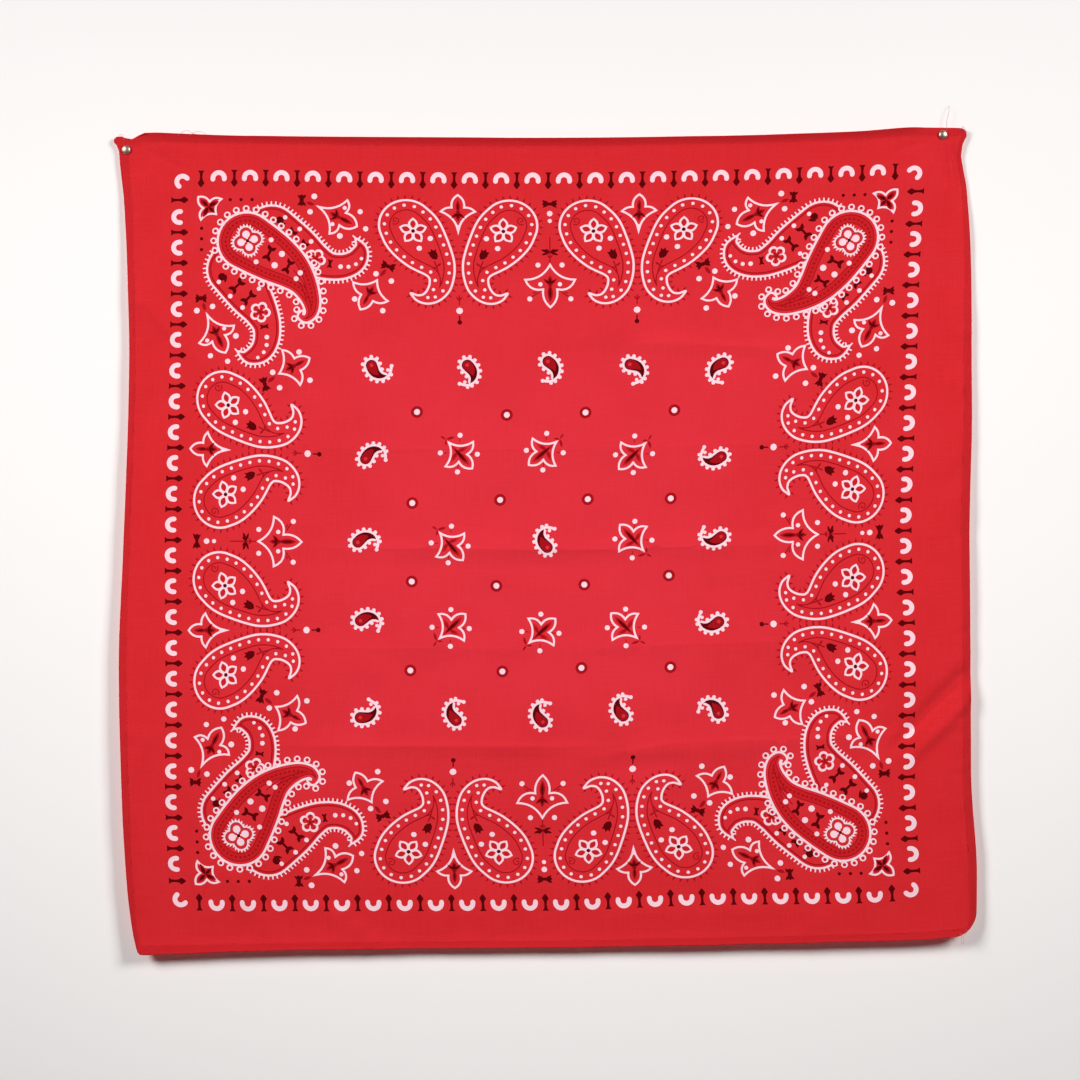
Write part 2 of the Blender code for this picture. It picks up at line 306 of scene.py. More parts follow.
def pucker_height(across, down):
    """Short waves along the stitched edges, strongest on the stitches."""
    total = 0.0
    for inward, along in zip(from_edges(across, down), (down, down, across, across)):
        near = np.exp(-(((inward - PUCKER_PLACE) / PUCKER_REACH) ** 2))
        waves = sum(np.sin(2.0 * pi * along / length + length) for length in PUCKER_LENGTHS)
        total = total + PUCKER_HEIGHT * near * waves / len(PUCKER_LENGTHS)
    return total


def drawn_in(share):
    """What is left of one way, where the other has gone this share of a corner's radius."""
    return np.sqrt(np.clip(1.0 - np.clip(share, 0.0, 1.2) ** 2 / 2.0, 0.1, 1.0))


def rounded(across, down):
    """Points of the square cloth, with those near its corners drawn in to round them."""
    for right, bottom, radius in CORNERS:
        edge_across, edge_down = (CLOTH_WIDTH if right else 0.0), (CLOTH_DROP if bottom else 0.0)
        way_across, way_down = (1.0 if right else -1.0), (1.0 if bottom else -1.0)
        u = 1.0 - way_across * (edge_across - across) / radius
        v = 1.0 - way_down * (edge_down - down) / radius
        near = (u > 0.0) & (v > 0.0)
        across = np.where(near, across - way_across * radius * u * (1.0 - drawn_in(v)), across)
        down = np.where(near, down - way_down * radius * v * (1.0 - drawn_in(u)), down)
    return across, down


def hang(across, down, behind=0.0):
    """Where points of the flat cloth hang, or points some way behind them, as rows of x, y and z."""
    across, down = rounded(*np.broadcast_arrays(np.asarray(across, float), np.asarray(down, float)))
    x = spread(LINES_ACROSS, follow_table(DOWN_STATIONS, down), across)
    z = spread(LINES_DOWN, follow_table(ACROSS_STATIONS, across), down)
    stand = follow(STAND_ACROSS, np.stack(follow_table(STAND_STATIONS, down), axis=1), across)
    for crease in BROAD_CREASES + SHARP_CREASES:
        stand = stand + crease_height(crease, across, down)
    for ripple in RIPPLES:
        stand = stand + ripple_height(ripple, across, down)
    stand = stand + pucker_height(across, down)
    for inward, drop in zip(from_edges(across, down), EDGE_DROPS):
        stand = stand - drop * np.clip(1.0 - inward / EDGE_ROUND, 0.0, 1.0) ** 2
    for pin_x, pin_z in PINS.values():
        beyond = np.hypot(x - pin_x, z - pin_z) - PIN_SEAT_RADIUS
        stand = stand + (PIN_SEAT_STAND - stand) * (1.0 - smooth_step(beyond / PIN_SEAT_FADE))
    for crease in PIN_CREASES:
        stand = stand + crease_height(crease, across, down)
    return np.stack([x, behind - stand, z], axis=1)


def facing(across, down):
    """The way that the front of the cloth faces at points of the flat cloth."""
    step = 0.25
    right = hang(across + step, down) - hang(across - step, down)
    below = hang(across, down + step) - hang(across, down - step)
    normal = np.cross(below, right)
    return normal / np.linalg.norm(normal, axis=1, keepdims=True)


# ------------------------------------------------------------------------------------------------
# Drawing the print: points are complex numbers, right + 1j * down from the middle of the print
# ------------------------------------------------------------------------------------------------

GROUND, WHITE, BLACK, DEEP, RICH = range(5)
# From the middle of the print to the line of its border, before it is fitted to the cloth.
RING = 242.0


def spin(turns):
    return np.exp(2j * pi * turns)


def arc(middle, radius, start, end, steps):
    return middle + radius * spin(np.linspace(start, end, steps))


def dot(at, radius, ink=WHITE, sides=8):
    return [(ink, at + radius * spin(np.arange(sides) / sides))]


def dots(table, ink=WHITE):
    return [shape for x, y, radius in table for shape in dot(complex(x, y), radius, ink)]


def smooth(points, steps=6):
    """A smooth path through rows of numbers."""
    rows = np.asarray(points)
    rows = np.concatenate([rows[:1] * 2 - rows[1:2], rows, rows[-1:] * 2 - rows[-2:-1]])
    t = (np.arange(steps) / steps).reshape(-1, *([1] * (rows.ndim - 1)))
    runs = [0.5 * (2 * b + (c - a) * t + (2 * a - 5 * b + 4 * c - d) * t**2 + (3 * b - a - 3 * c + d) * t**3)
            for a, b, c, d in zip(rows[:-3], rows[1:-2], rows[2:-1], rows[3:])]
    return np.concatenate(runs + [rows[-2:-1]])


def bent(start, end, bow, steps=5):
    """From start up to end, without end itself, swelling to the right of the way by a share of it."""
    t = np.arange(steps) / steps
    elbow = (start + end) / 2 + 1j * (end - start) * bow
    return (1 - t)**2 * start + 2 * t * (1 - t) * elbow + t**2 * end


def leaf(start, end, fat, ink=BLACK, steps=4):
    return [(ink, np.concatenate([bent(start, end, fat, steps), bent(end, start, fat, steps)]))]


def heading(path):
    run = np.gradient(path)
    return run / np.maximum(abs(run), 1e-9)


def line(path, width, ink=BLACK, round_ends=True):
    """A stroke along an open path, with round or square ends."""
    path = np.asarray(path, complex)
    ways = heading(path)
    aside = 0.5j * width * ways
    if not round_ends:
        return [(ink, np.concatenate([path + aside, (path - aside)[::-1]]))]
    end = path[-1] + arc(0, width / 2, 0.25, -0.25, 5)[1:-1] * ways[-1]
    start = path[0] + arc(0, width / 2, -0.25, -0.75, 5)[1:-1] * ways[0]
    return [(ink, np.concatenate([path + aside, end, (path - aside)[::-1], start]))]


def thinned(outline, slack=0.05):
    """The outline without the points that a straight run passes within slack of."""
    keep = [0]
    while keep[-1] < len(outline) - 1:
        first, last = keep[-1], keep[-1] + 2
        while last < len(outline):
            run = outline[last] - outline[first]
            off = abs(((outline[first + 1:last] - outline[first]) * run.conjugate()).imag)
            if off.max() > slack * max(abs(run), 1e-9):
                break
            last += 1
        keep.append(last - 1)
    return outline[keep]


def grown(outline, by):
    """A closed outline moved outward, or inward where by is below zero."""
    after = np.roll(outline, -1)
    run = (after - outline) / np.maximum(abs(after - outline), 1e-9)
    out = -1j * run * np.sign((outline.conj() * after).imag.sum())
    before = np.roll(out, 1)
    moved = outline + by * (out + before) / np.maximum(1 + (out * before.conj()).real, 0.15)
    way = after - outline
    share = ((moved[:, None] - outline) * way.conj()).real / np.maximum(abs(way)**2, 1e-12)
    near = abs(moved[:, None] - (outline + np.clip(share, 0, 1) * way)).min(1)
    return moved[near > 0.96 * abs(by)]


def outlined(outline, width):
    """The ground's colour inside a white line."""
    return [(WHITE, grown(outline, width / 2)), (GROUND, grown(outline, -width / 2))]


def placed(shapes, at=0, turn=0.0, mirror=False):
    """Shapes turned by a share of a full turn and moved, first mirrored across their own x axis."""
    return [(ink, at + spin(turn) * (outline.conj() if mirror else outline)) for ink, outline in shapes]


def between(shapes, start, end, mirror=False):
    """Shapes drawn along the x axis from 0, set out from start toward end."""
    return placed(shapes, start, np.angle(end - start) / (2 * pi), mirror)


class Paisley:
    """A drop with a curling tail: the outline of discs along a spine."""
    def __init__(self, spine, steps=8):
        rows = smooth(np.array(spine, float), steps)
        self.spine, self.radii = rows[:, 0] + 1j * rows[:, 1], np.maximum(rows[:, 2], 0.05)

    def outline(self, inset=0.0, slack=0.05):
        inside = self.radii - inset > 0.12
        spine, radii = self.spine[inside], self.radii[inside] - inset
        ways = heading(spine)
        shrink = np.clip(np.gradient(radii) / np.maximum(abs(np.gradient(spine)), 1e-6), -0.95, 0.95)
        aside = 1j * np.sqrt(1 - shrink**2)
        right, left = spine + radii * ways * (aside - shrink), spine - radii * ways * (aside + shrink)
        start, end = np.angle(left[0] - spine[0]), np.angle(right[0] - spine[0])
        end -= 2 * pi * (end > start)
        bulb = spine[0] + radii[0] * np.exp(1j * np.linspace(start, end, 19)[1:-1])
        tip = spine[-1:] + ways[-1] * min(radii[-1] * 1.5, 1.2)
        path = np.concatenate([right, tip, left[::-1], bulb])
        clear = (abs(path[:, None] - spine) - radii).min(1) > -0.04
        return thinned(path[clear], slack)

    def band(self, outer, inner, ink, fill=GROUND):
        return [(ink, self.outline(outer)), (fill, self.outline(inner))]

    def stations(self, inset, spacing, skip=0.0):
        """Points at even steps along the outline at an inset, each with its way outward."""
        path = self.outline(inset, 0.01)
        path = np.append(path, path[0])
        length = np.concatenate([[0], np.cumsum(abs(np.diff(path)))])
        count = int(round(length[-1] / spacing))
        at = (np.arange(count) + skip) / count * length[-1]
        def read(x):
            around = x % length[-1]
            return np.interp(around, length, path.real) + 1j * np.interp(around, length, path.imag)
        way = read(at + 0.5) - read(at - 0.5)
        return read(at), 1j * way / np.maximum(abs(way), 1e-9)


def beside(shapes, stations):
    """A shape, drawn with x outward, repeated at the stations."""
    return [(ink, at + outline * out) for at, out in zip(*stations) for ink, outline in shapes]


# ------------------------------------------------------------------------------------------------
# Small motifs
# ------------------------------------------------------------------------------------------------


def horseshoe():
    path = np.concatenate([[-3.7 + 2.1j], arc(1.4j, 3.7, 0.5, 1.0, 11), [3.7 + 2.1j]])
    return line(path, 3.15, WHITE)


def arrow():
    half = np.array([2.2 - 3.9j, 1.0 - 2.4j, 0.75 + 0.6j, 1.1 + 2.6j, 2.3 + 4.4j, 1.0 + 6.4j])
    return [(BLACK, np.concatenate([half, [7.4j], -half.conj()[::-1]]))]


def lily(length, lobe, notch, width=1.3, dip=0.3, swell=0.3, leaf_swell=0.3, heart=0.0):
    """A lily along x, from its stem's point at 0 to its leaf's tip at length.

    Lobe and notch lie on one side, and are mirrored on the other.
    """
    half = np.concatenate([bent(0j, lobe, -dip, 7), bent(lobe, notch, swell, 5),
                           bent(notch, length + 0j, leaf_swell, 6)])
    shapes = outlined(np.concatenate([half, [length + 0j], half[:0:-1].conj()]), width)
    if heart:
        shapes += leaf(heart - 5.0, heart + 4.2, 0.4, DEEP) + leaf(heart + 1.0, length - 3.4, 0.3, DEEP, 5)
        shapes += leaf(heart - 3.2, heart + 2.4, 0.34, BLACK) + leaf(heart + 2.4, length - 5.4, 0.18, BLACK)
        for side in (1, -1):
            shapes += leaf(heart + 1.4, heart - 2.8 + 4.4j * side, 0.34, DEEP, 3)
            shapes += leaf(heart + 0.8, heart - 1.8 + 3.2j * side, 0.34, BLACK, 3)
    return shapes


def bow_tie(out, up, knot):
    """Two notched wings and a knot, along x."""
    wing = np.array([knot * 0.5 - 0.7j, out * 0.4 - up * 0.75j, out * 0.95 - 1j * up,
                     out * 0.8 - up * 0.25j, out + 0.1j, out * 0.78 + up * 0.4j,
                     out * 0.88 + 1j * up, out * 0.36 + up * 0.6j, knot * 0.5 + 0.7j])
    return [(BLACK, wing), (BLACK, -wing.conj())] + dot(0, knot, BLACK, 6)


def butterfly(out):
    """Three dark leaves on either side, their roots together."""
    shapes = []
    for side in (1, -1):
        shapes += leaf(0j, complex(side * out, -1.9), 0.3, BLACK)
        shapes += leaf(0j, complex(side * out * 0.95, 1.7), 0.26, BLACK)
        shapes += leaf(0j, complex(side * out * 0.5, -2.6), 0.3, BLACK, 3)
    return shapes


def bone(length, fat):
    """A dark double fork across a paisley's spine, along x."""
    shapes = line([-length * 0.4, length * 0.4], fat, BLACK, False)
    for end in (-1, 1):
        for side in (-1, 1):
            tip = complex(end * length * 0.5, side * length * 0.27)
            shapes += leaf(end * length * 0.14 + 0j, tip, 0.5, BLACK, 3)
    return shapes


def petals(count, reach, fat, ink, start=0.0, root=0.0, steps=4):
    return [shape for k in range(count)
            for shape in placed(leaf(root + 0j, reach + 0j, fat, ink, steps), 0, start + k / count)]


# ------------------------------------------------------------------------------------------------
# The large paisleys along the sides
# ------------------------------------------------------------------------------------------------

SIDE_SPINE = (
    # x, in, radius
    (-32.3, 31.0, 17.3), (-28.3, 37.0, 18.4), (-22.4, 45.5, 16.2), (-15.4, 54.0, 12.0),
    (-12.3, 59.3, 9.7), (-10.9, 65.5, 7.8), (-12.0, 72.5, 6.7), (-15.8, 78.2, 5.2),
    (-20.8, 81.0, 3.4), (-26.0, 80.6, 1.8), (-30.2, 77.6, 0.3),
)
CORNER_MAIN_SPINE = (
    # x, y, radius
    (45.5, 43.5, 19.0), (55.0, 49.3, 18.0), (64.2, 55.0, 16.4), (73.6, 61.4, 13.4),
    (81.0, 68.6, 10.1), (85.8, 76.3, 7.7), (88.6, 84.0, 5.9), (88.6, 90.8, 4.2),
    (85.2, 94.6, 2.9), (81.7, 93.0, 2.0), (82.6, 90.4, 1.0),
)
CORNER_SIDE_SPINE = (
    # x, y, radius
    (62.0, 37.0, 17.3), (78.0, 47.0, 14.4), (89.0, 54.6, 11.4), (99.0, 59.3, 9.1),
    (109.0, 59.6, 8.3), (116.6, 56.2, 7.4), (120.0, 50.2, 5.2), (119.8, 45.4, 2.6), (117.2, 41.2, 0.4),
)


def blossom():
    """Five round petals in one wavy outline, round a dark star."""
    around = np.arange(50) / 50
    off = 2 * pi * ((around * 5 + 0.5) % 1 - 0.5) / 5

    def rim(radius):
        return (3.9 * np.cos(off) + np.sqrt(radius**2 - (3.9 * np.sin(off))**2)) * spin(around)

    shapes = [(WHITE, rim(3.1)), (GROUND, rim(2.36) * 0.86)]
    shapes += petals(5, 3.4, 0.34, DEEP, 0.0, 0.0, 3)
    for k in range(5):
        gap = spin(k / 5 + 0.1)
        shapes += leaf(1.9 * gap, 4.4 * gap, 0.3, WHITE, 3) + dot(4.1 * spin(k / 5), 0.75, DEEP, 6)
    return shapes + dot(0, 1.2, DEEP, 7)


def star_flower():
    shapes = petals(5, 9.2, 0.7, WHITE, -0.25, 0.0, 6)
    shapes += petals(5, 9.2 - 1.6, 0.62, RICH, -0.25, 1.9, 5)
    return shapes + dot(0, 1.9, WHITE) + dot(0, 1.3, BLACK)


def side_paisley():
    drop = Paisley(SIDE_SPINE)
    thorn = np.array([-0.5 - 0.85j, 2.2 + 0.3j, -0.5 + 0.8j])
    shapes = beside([(DEEP, thorn)], drop.stations(-1.9, 4.4, 0.5))
    shapes += drop.band(-0.68, 0.68, WHITE)
    shapes += beside(dot(0, 1.12), drop.stations(3.4, 6.5))
    shapes += drop.band(6.3, 7.05, DEEP)
    curl = -39.4 + 27.6j + np.linspace(0.5, 2.9, 12) * spin(np.linspace(0.1, 1.35, 12))
    shapes += line(curl, 0.7, DEEP, False)
    shapes += placed(star_flower(), -28.3 + 34.8j)
    shapes += dots(((-17.6, 39.9, 1.8), (-24.6, 46.6, 1.8)))
    bud = np.array([0.9 + 4.6j, 2.6 + 2.6j, 3.2 + 0.2j, 2.8 - 1.6j, 3.6 - 3.9j, 1.4 - 2.9j,
                    0.2 - 5.2j, -1.2 - 3.0j, -3.5 - 3.6j, -2.9 - 1.2j, -3.0 + 0.6j, -1.8 + 3.2j])
    shapes += placed([(BLACK, bud * 0.82)], -15.8 + 51.0j, -0.06)
    shapes += line(smooth([-15.4 + 55.4j, -13.8 + 59.5j, -12.6 + 64.5j]), 0.9, DEEP, False)
    shapes += leaf(-14.0 + 59.2j, -10.8 + 56.6j, 0.34, DEEP) + leaf(-13.6 + 60.2j, -17.0 + 59.4j, 0.34, DEEP)
    return shapes


def pair():
    """Two mirrored paisleys with a lily between their heads, in from the ring along +y."""
    left = side_paisley()
    shapes = left + placed(left, turn=0.5, mirror=True)
    shapes += between(lily(26.6, 15.2 + 10.7j, 18.0 + 3.9j, 1.3, 0.32, 0.26, 0.32, 13.2), 36.6j, 10.0j)
    shapes += line([79.0j, 85.0j], 0.8, DEEP)
    shapes += leaf(82.5j, -1.9 + 79.6j, 0.3, DEEP) + leaf(82.5j, 1.9 + 79.6j, 0.3, DEEP)
    shapes += dot(89.3j, 2.2) + line([93.0j, 98.0j], 0.8, BLACK) + dot(97.2j, 1.6, BLACK, 7)
    return shapes


def between_pairs():
    """What stands at the middle of a side, in from the ring along +y."""
    shapes = placed(bow_tie(5.2, 2.7, 1.2), 17.2j) + dot(23.6j, 1.9) + dot(28.5j, 1.4)
    shapes += line([39.5j, 57.0j], 0.8, DEEP) + placed(butterfly(6.0), 49.6j)
    shapes += leaf(53.4j, -1.9 + 51.2j, 0.4, DEEP) + leaf(53.4j, 1.9 + 51.2j, 0.4, DEEP)
    shapes += between(lily(28.4, 10.0 + 16.4j, 16.4 + 4.6j, 1.3, 0.3, 0.42, 0.28, 12.0), 57.8j, 86.2j)
    for side in (1, -1):
        shapes += line([side * 7.4 + 76.2j, side * 12.2 + 79.2j], 0.8, DEEP)
        shapes += leaf(side * 9.0 + 76.0j, side * 12.0 + 76.8j, 0.3, DEEP)
        shapes += dots(((side * 6.4, 70.8, 1.5), (side * 7.9, 58.0, 1.75), (side * 13.5, 80.6, 1.75)))
    return shapes


# ------------------------------------------------------------------------------------------------
# The corner cluster
# ------------------------------------------------------------------------------------------------


def corner_side_paisley():
    drop = Paisley(CORNER_SIDE_SPINE)
    tooth = np.array([-0.3 - 0.6j, 2.1 - 0.4j, 2.1 + 0.4j, -0.3 + 0.6j])
    dash = np.array([0.2 - 0.28j, 1.4, 0.2 + 0.28j])
    shapes = beside([(WHITE, tooth)], drop.stations(-0.6, 2.85))
    shapes += beside([(BLACK, dash)], drop.stations(-0.9, 2.85, 0.5))
    shapes += drop.band(-0.65, 0.7, WHITE) + drop.band(1.5, 3.5, RICH) + drop.band(2.1, 2.8, DEEP)
    shapes += dot(67.2 + 29.6j, 2.7, BLACK, 7) + leaf(65.4 + 32.4j, 71.4 + 31.6j, 0.3)
    shapes += placed(bone(11.0, 1.6), 73.4 + 39.6j, -0.13) + placed(bone(10.4, 1.6), 81.4 + 47.2j, -0.13)
    shapes += dots(((70.6, 27.6, 1.5), (80.2, 35.2, 1.6), (87.8, 43.4, 1.6), (75.2, 54.0, 1.5),
                    (107.4, 59.8, 1.6), (112.6, 59.8, 1.4), (117.4, 58.0, 1.3), (121.0, 54.2, 1.2)))
    shapes += placed(blossom(), 90.8 + 55.0j, 0.04) + placed(bone(5.8, 1.8), 100.4 + 58.0j, 0.27)
    return shapes


def rosette():
    """The blossom in the main paisley's bulb: four round petals in a spiked, four-lobed ring."""
    def lobed(radius, around):
        off = 2 * pi * ((around * 4 + 0.5) % 1 - 0.5) / 4
        return 5.0 * np.cos(off) + np.sqrt(radius**2 - (5.0 * np.sin(off))**2)
    around = np.arange(60) / 60
    rim = (lobed(4.9, around) + np.where(np.arange(60) % 2, 1.8, -0.2)) * spin(around)
    half = around[::2]
    shapes = [(WHITE, rim), (BLACK, lobed(4.1, half) * spin(half)), (GROUND, lobed(3.8, half) * spin(half))]
    for k in range(4):
        shapes += dot(4.4 * spin(k / 4), 2.5, WHITE, 12) + leaf(0j, 4.4 * spin(k / 4), 0.3, WHITE)
    shapes = placed(shapes, 0, -0.04)
    return shapes + dot(0, 1.3, BLACK, 6)


def corner_main_paisley():
    drop = Paisley(CORNER_MAIN_SPINE)
    shapes = beside(dot(0, 2.3, WHITE, 9) + dot(0.2, 1.2, RICH, 7), drop.stations(-2.5, 6.6, 0.3))
    shapes += drop.band(-0.72, 0.72, WHITE)
    shapes += drop.band(2.4, 3.0, DEEP, RICH) + [(DEEP, drop.outline(7.7)), (GROUND, drop.outline(8.3))]
    shapes += beside(dot(0, 0.85, DEEP, 6), drop.stations(5.3, 3.0))
    for path in ((76.5 + 62.5j, 83.0 + 71.0j, 87.4 + 82.0j, 88.6 + 89.5j),
                 (78.0 + 67.4j, 82.4 + 74.4j, 85.4 + 83.0j)):
        shapes += line(smooth(path, 5), 0.7, DEEP, False)
    shapes += placed(rosette(), 46.2 + 43.4j)
    shapes += dots(((61.6, 42.7, 1.7), (51.9, 57.4, 1.7), (68.8, 52.0, 2.1), (64.1, 59.6, 2.2),
                    (81.0, 64.4, 1.8), (78.3, 68.3, 1.7)))
    shapes += placed(bone(10.6, 1.8), 60.4 + 51.6j, 0.32) + placed(bone(9.8, 1.8), 73.0 + 60.2j, 0.33)
    return shapes


def corner_half():
    """What a corner has on one side of its diagonal, from the ring's crossing."""
    shapes = corner_side_paisley()
    shapes += dots(((34.6, 16.0, 1.15), (41.6, 16.0, 1.15), (48.8, 16.0, 1.15)), BLACK)
    inner_lily = lily(28.7, 15.0 + 12.6j, 18.0 + 4.6j, 1.3, 0.3, 0.42, 0.36, 13.4)
    shapes += between(inner_lily, 92.0 + 20.0j, 117.6 + 32.8j)
    shapes += dots(((89.4, 13.3, 2.0), (86.8, 23.6, 1.9), (119.6, 23.0, 1.8), (123.4, 34.4, 1.8),
                    (106.6, 39.4, 2.0), (109.4, 20.6, 1.4), (101.6, 31.6, 1.4)))
    shapes += placed(bow_tie(4.0, 3.0, 1.6), 81.2 + 16.0j, 0.25) + leaf(84.0 + 17.2j, 89.6 + 19.0j, 0.4, DEEP)
    outer_lily = lily(22.3, 8.8 + 13.0j, 13.4 + 4.4j, 1.3, 0.26, 0.3, 0.3, 9.4)
    shapes += between(outer_lily, 131.5 + 68.5j, 121.0 + 88.0j)
    shapes += dots(((130.7, 64.2, 1.9), (117.0, 81.2, 1.9), (135.6, 88.8, 1.9), (140.9, 69.0, 1.9)))
    shapes += placed(bow_tie(5.0, 3.0, 1.5), 138.6 + 59.2j, 0.05)
    shapes += leaf(137.4 + 61.0j, 133.4 + 66.0j, 0.4, DEEP)
    return shapes


def corner():
    half = corner_half()
    shapes = half + placed(half, turn=0.25, mirror=True)
    outer = lily(16.6, 4.6 + 9.4j, 9.0 + 2.9j, 1.3, 0.34, 0.4, 0.36)
    for tip, fat, ink in (
            (1.0, 0.5, DEEP), (14.6, 0.5, DEEP), (4.6 + 7.4j, 0.44, DEEP), (4.6 - 7.4j, 0.44, DEEP),
            (2.4, 0.36, BLACK), (12.8, 0.36, BLACK), (5.4 + 5.6j, 0.36, BLACK), (5.4 - 5.6j, 0.36, BLACK)):
        outer += leaf(7.4 + 0j, tip, fat, ink, 3)
    shapes += between(outer, 25.4 + 25.4j, 13.7 + 13.7j)
    shapes += corner_main_paisley()
    return shapes


# ------------------------------------------------------------------------------------------------
# The middle of the cloth
# ------------------------------------------------------------------------------------------------


def small_paisley():
    """A knobbed drop, its bulb up and its tail curling to the lower left, round its own middle."""
    drop = Paisley(((-1.2, -4.6, 3.9), (0.7, -2.7, 3.8), (2.4, -0.3, 3.2), (3.0, 2.6, 2.3), (2.5, 5.2, 1.4),
                    (1.2, 7.2, 0.4)), 5)
    places, ways = drop.stations(-1.9, 4.0, 0.2)
    kept = abs(places - (-2.0 + 7.6j)) > 3.0
    shapes = beside(dot(0, 1.3, WHITE, 7), (places[kept], ways[kept]))
    shapes += line(smooth([2.6 + 6.6j, 0.2 + 8.7j, -2.6 + 8.6j, -5.4 + 7.9j], 4), 1.8, WHITE)
    for at, radius in ((-0.6 + 10.0j, 1.25), (-2.6 + 6.6j, 1.2), (-6.0 + 7.8j, 1.35)):
        shapes += dot(at, radius, WHITE, 7)
    shapes += [(WHITE, drop.outline(-1.3)), (BLACK, drop.outline(0.2))]
    core = Paisley(((-1.2, -4.6, 3.1), (0.4, -3.0, 2.8), (1.8, -1.0, 2.0), (2.6, 1.4, 0.8)), 3)
    shapes += [(DEEP, core.outline())]
    return shapes + dot(-1.3 - 4.6j, 1.25, GROUND)


def star_lily():
    """A small lily round its own centre, its leaf along +x, with a dark twig past its point."""
    shapes = placed(lily(23.4, 10.4 + 12.0j, 14.0 + 3.6j, 1.3, 0.3, 0.36, 0.34), -9.9)
    for tip, fat in ((11.0 + 0j, 0.34), (0.8 + 7.6j, 0.4), (0.8 - 7.6j, 0.4), (-7.6 + 0j, 0.34)):
        shapes += leaf(-1.6 + 0j, tip, fat, RICH, 3)
    shapes += leaf(-1.6 + 0j, 0.2 + 5.6j, 0.34, DEEP, 3) + leaf(-1.6 + 0j, 0.2 - 5.6j, 0.34, DEEP, 3)
    shapes += leaf(-5.6 + 0j, 9.4 + 0j, 0.2, DEEP) + leaf(-4.4 + 0j, 8.0 + 0j, 0.14, BLACK)
    for tip in (-17.0 + 1.2j, -10.2 - 5.4j, -9.8 + 3.0j):
        shapes += leaf(-12.8 + 0j, tip, 0.32, DEEP, 3)
    return shapes


def ring_dot(at):
    return dot(at, 4.0, DEEP, 14) + dot(at, 2.0, WHITE, 10)


SMALL_PAISLEYS = (
    # right, down, quarter turns, mirrored
    (-109.2, -113.9, -0.75, True), (-48.7, -112.6, 0.0, False), (4.9, -115.3, -0.08, False),
    (60.6, -113.6, -0.35, False), (115.6, -112.4, 0.25, True), (-111.1, -57.2, -1.2, False),
    (-114.1, -0.3, -1.0, False), (-113.1, 52.6, -0.9, False), (114.5, -52.9, 1.1, False),
    (116.0, 0.6, 1.1, False), (112.8, 57.4, 1.1, False), (-114.0, 115.0, -1.5, True),
    (-56.3, 114.7, 2.0, False), (0.5, 115.8, 2.0, False), (53.4, 113.2, 2.0, False),
    (113.5, 115.0, 1.3, True), (4.9, -0.4, 2.0, False),
)
STAR_LILIES = (
    # right, down, the way of the leaf in eighths of a turn, tilt in degrees
    (-53.8, -58.3, 1, 2.0), (2.8, -59.6, 3, 4.0), (61.7, -56.6, 3, 0.0), (-58.2, 2.2, 1, 5.0),
    (62.9, 0.4, 5, 4.0), (-58.6, 57.7, 7, 2.0), (0.3, 60.8, 7, 3.0), (56.5, 58.8, 5, 1.0),
)
RING_DOTS = (
    # right, down
    (-82.2, -85.9), (-23.0, -84.1), (28.8, -85.4), (87.3, -85.3),
    (-83.3, -25.3), (-25.5, -27.5), (32.3, -27.5), (87.0, -26.3),
    (-83.5, 26.9), (-27.8, 29.7), (30.1, 29.4), (85.9, 25.2),
    (-85.4, 86.0), (-25.0, 86.7), (26.9, 84.8), (85.3, 86.4),
)


def middle_field():
    small, lily_shape = small_paisley(), star_lily()
    shapes = []
    for right, down, turn, mirrored in SMALL_PAISLEYS:
        shape = placed(small, turn=0.5, mirror=True) if mirrored else small
        shapes += placed(shape, complex(right, down), turn / 4)
    for right, down, eighths, tilt in STAR_LILIES:
        spot, lean = complex(right, down), tilt / 360
        shapes += placed(lily_shape, spot, eighths / 8 + lean)
        for k in range(4):
            way = spin(k / 4 + lean)
            shapes += dot(spot + 12.2 * way, 1.75) + leaf(spot + 7.2 * way, spot + 10.6 * way, 0.2, DEEP, 3)
    for right, down in RING_DOTS:
        shapes += ring_dot(complex(right, down))
    return shapes


# ------------------------------------------------------------------------------------------------
# The whole print
# ------------------------------------------------------------------------------------------------

# The large motifs of each side, from the top round to the left: how far right of the side's middle each
# stands, and its slant to the right.
SIDES = (
    # left pair, middle, right pair
    ((-59.4, 0.040), (0.7, 0.037), (59.7, 0.014)),
    ((-59.0, 0.0), (0.0, 0.0), (59.0, 0.0)),
    ((-59.0, -0.023), (0.0, -0.023), (59.0, -0.023)),
    ((-60.1, 0.007), (-0.6, -0.005), (61.3, -0.042)),
)
# The border's horseshoes along one side, how far apart they and the arrows between them stand, and how
# far in from each corner its arrow and its horseshoe stand.
HORSESHOES = 22
BORDER_PITCH = 20.5
CORNER_ARROW = 15.4
CORNER_HORSESHOE = 2.2


def whole_print():
    """Every outline of the print in the order of drawing, each with its ink."""
    border = []
    for k in range(HORSESHOES):
        border += placed(horseshoe(), (k - (HORSESHOES - 1) / 2) * BORDER_PITCH)
    for k in range(HORSESHOES - 1):
        border += placed(arrow(), (k - (HORSESHOES - 2) / 2) * BORDER_PITCH)
    border += placed(arrow(), -RING + CORNER_ARROW) + placed(arrow(), RING - CORNER_ARROW)
    border = placed(border, -1j * RING)
    border += placed(horseshoe(), (-RING + CORNER_HORSESHOE) * (1 + 1j), -1 / 8)
    border += placed(corner(), -RING * (1 + 1j))
    pair_shapes = [(ink, outline.real * 1.045 + 1j * (outline.imag * 0.975 + 1.6)) for ink, outline in pair()]
    shapes = []
    for quarter, places in enumerate(SIDES):
        side = list(border)
        for motif, (at, slant) in zip((pair_shapes, between_pairs(), pair_shapes), places):
            side += [(ink, at - 1j * RING + outline + slant * outline.imag) for ink, outline in motif]
        shapes += placed(side, 0, quarter / 4)
    return shapes + middle_field()


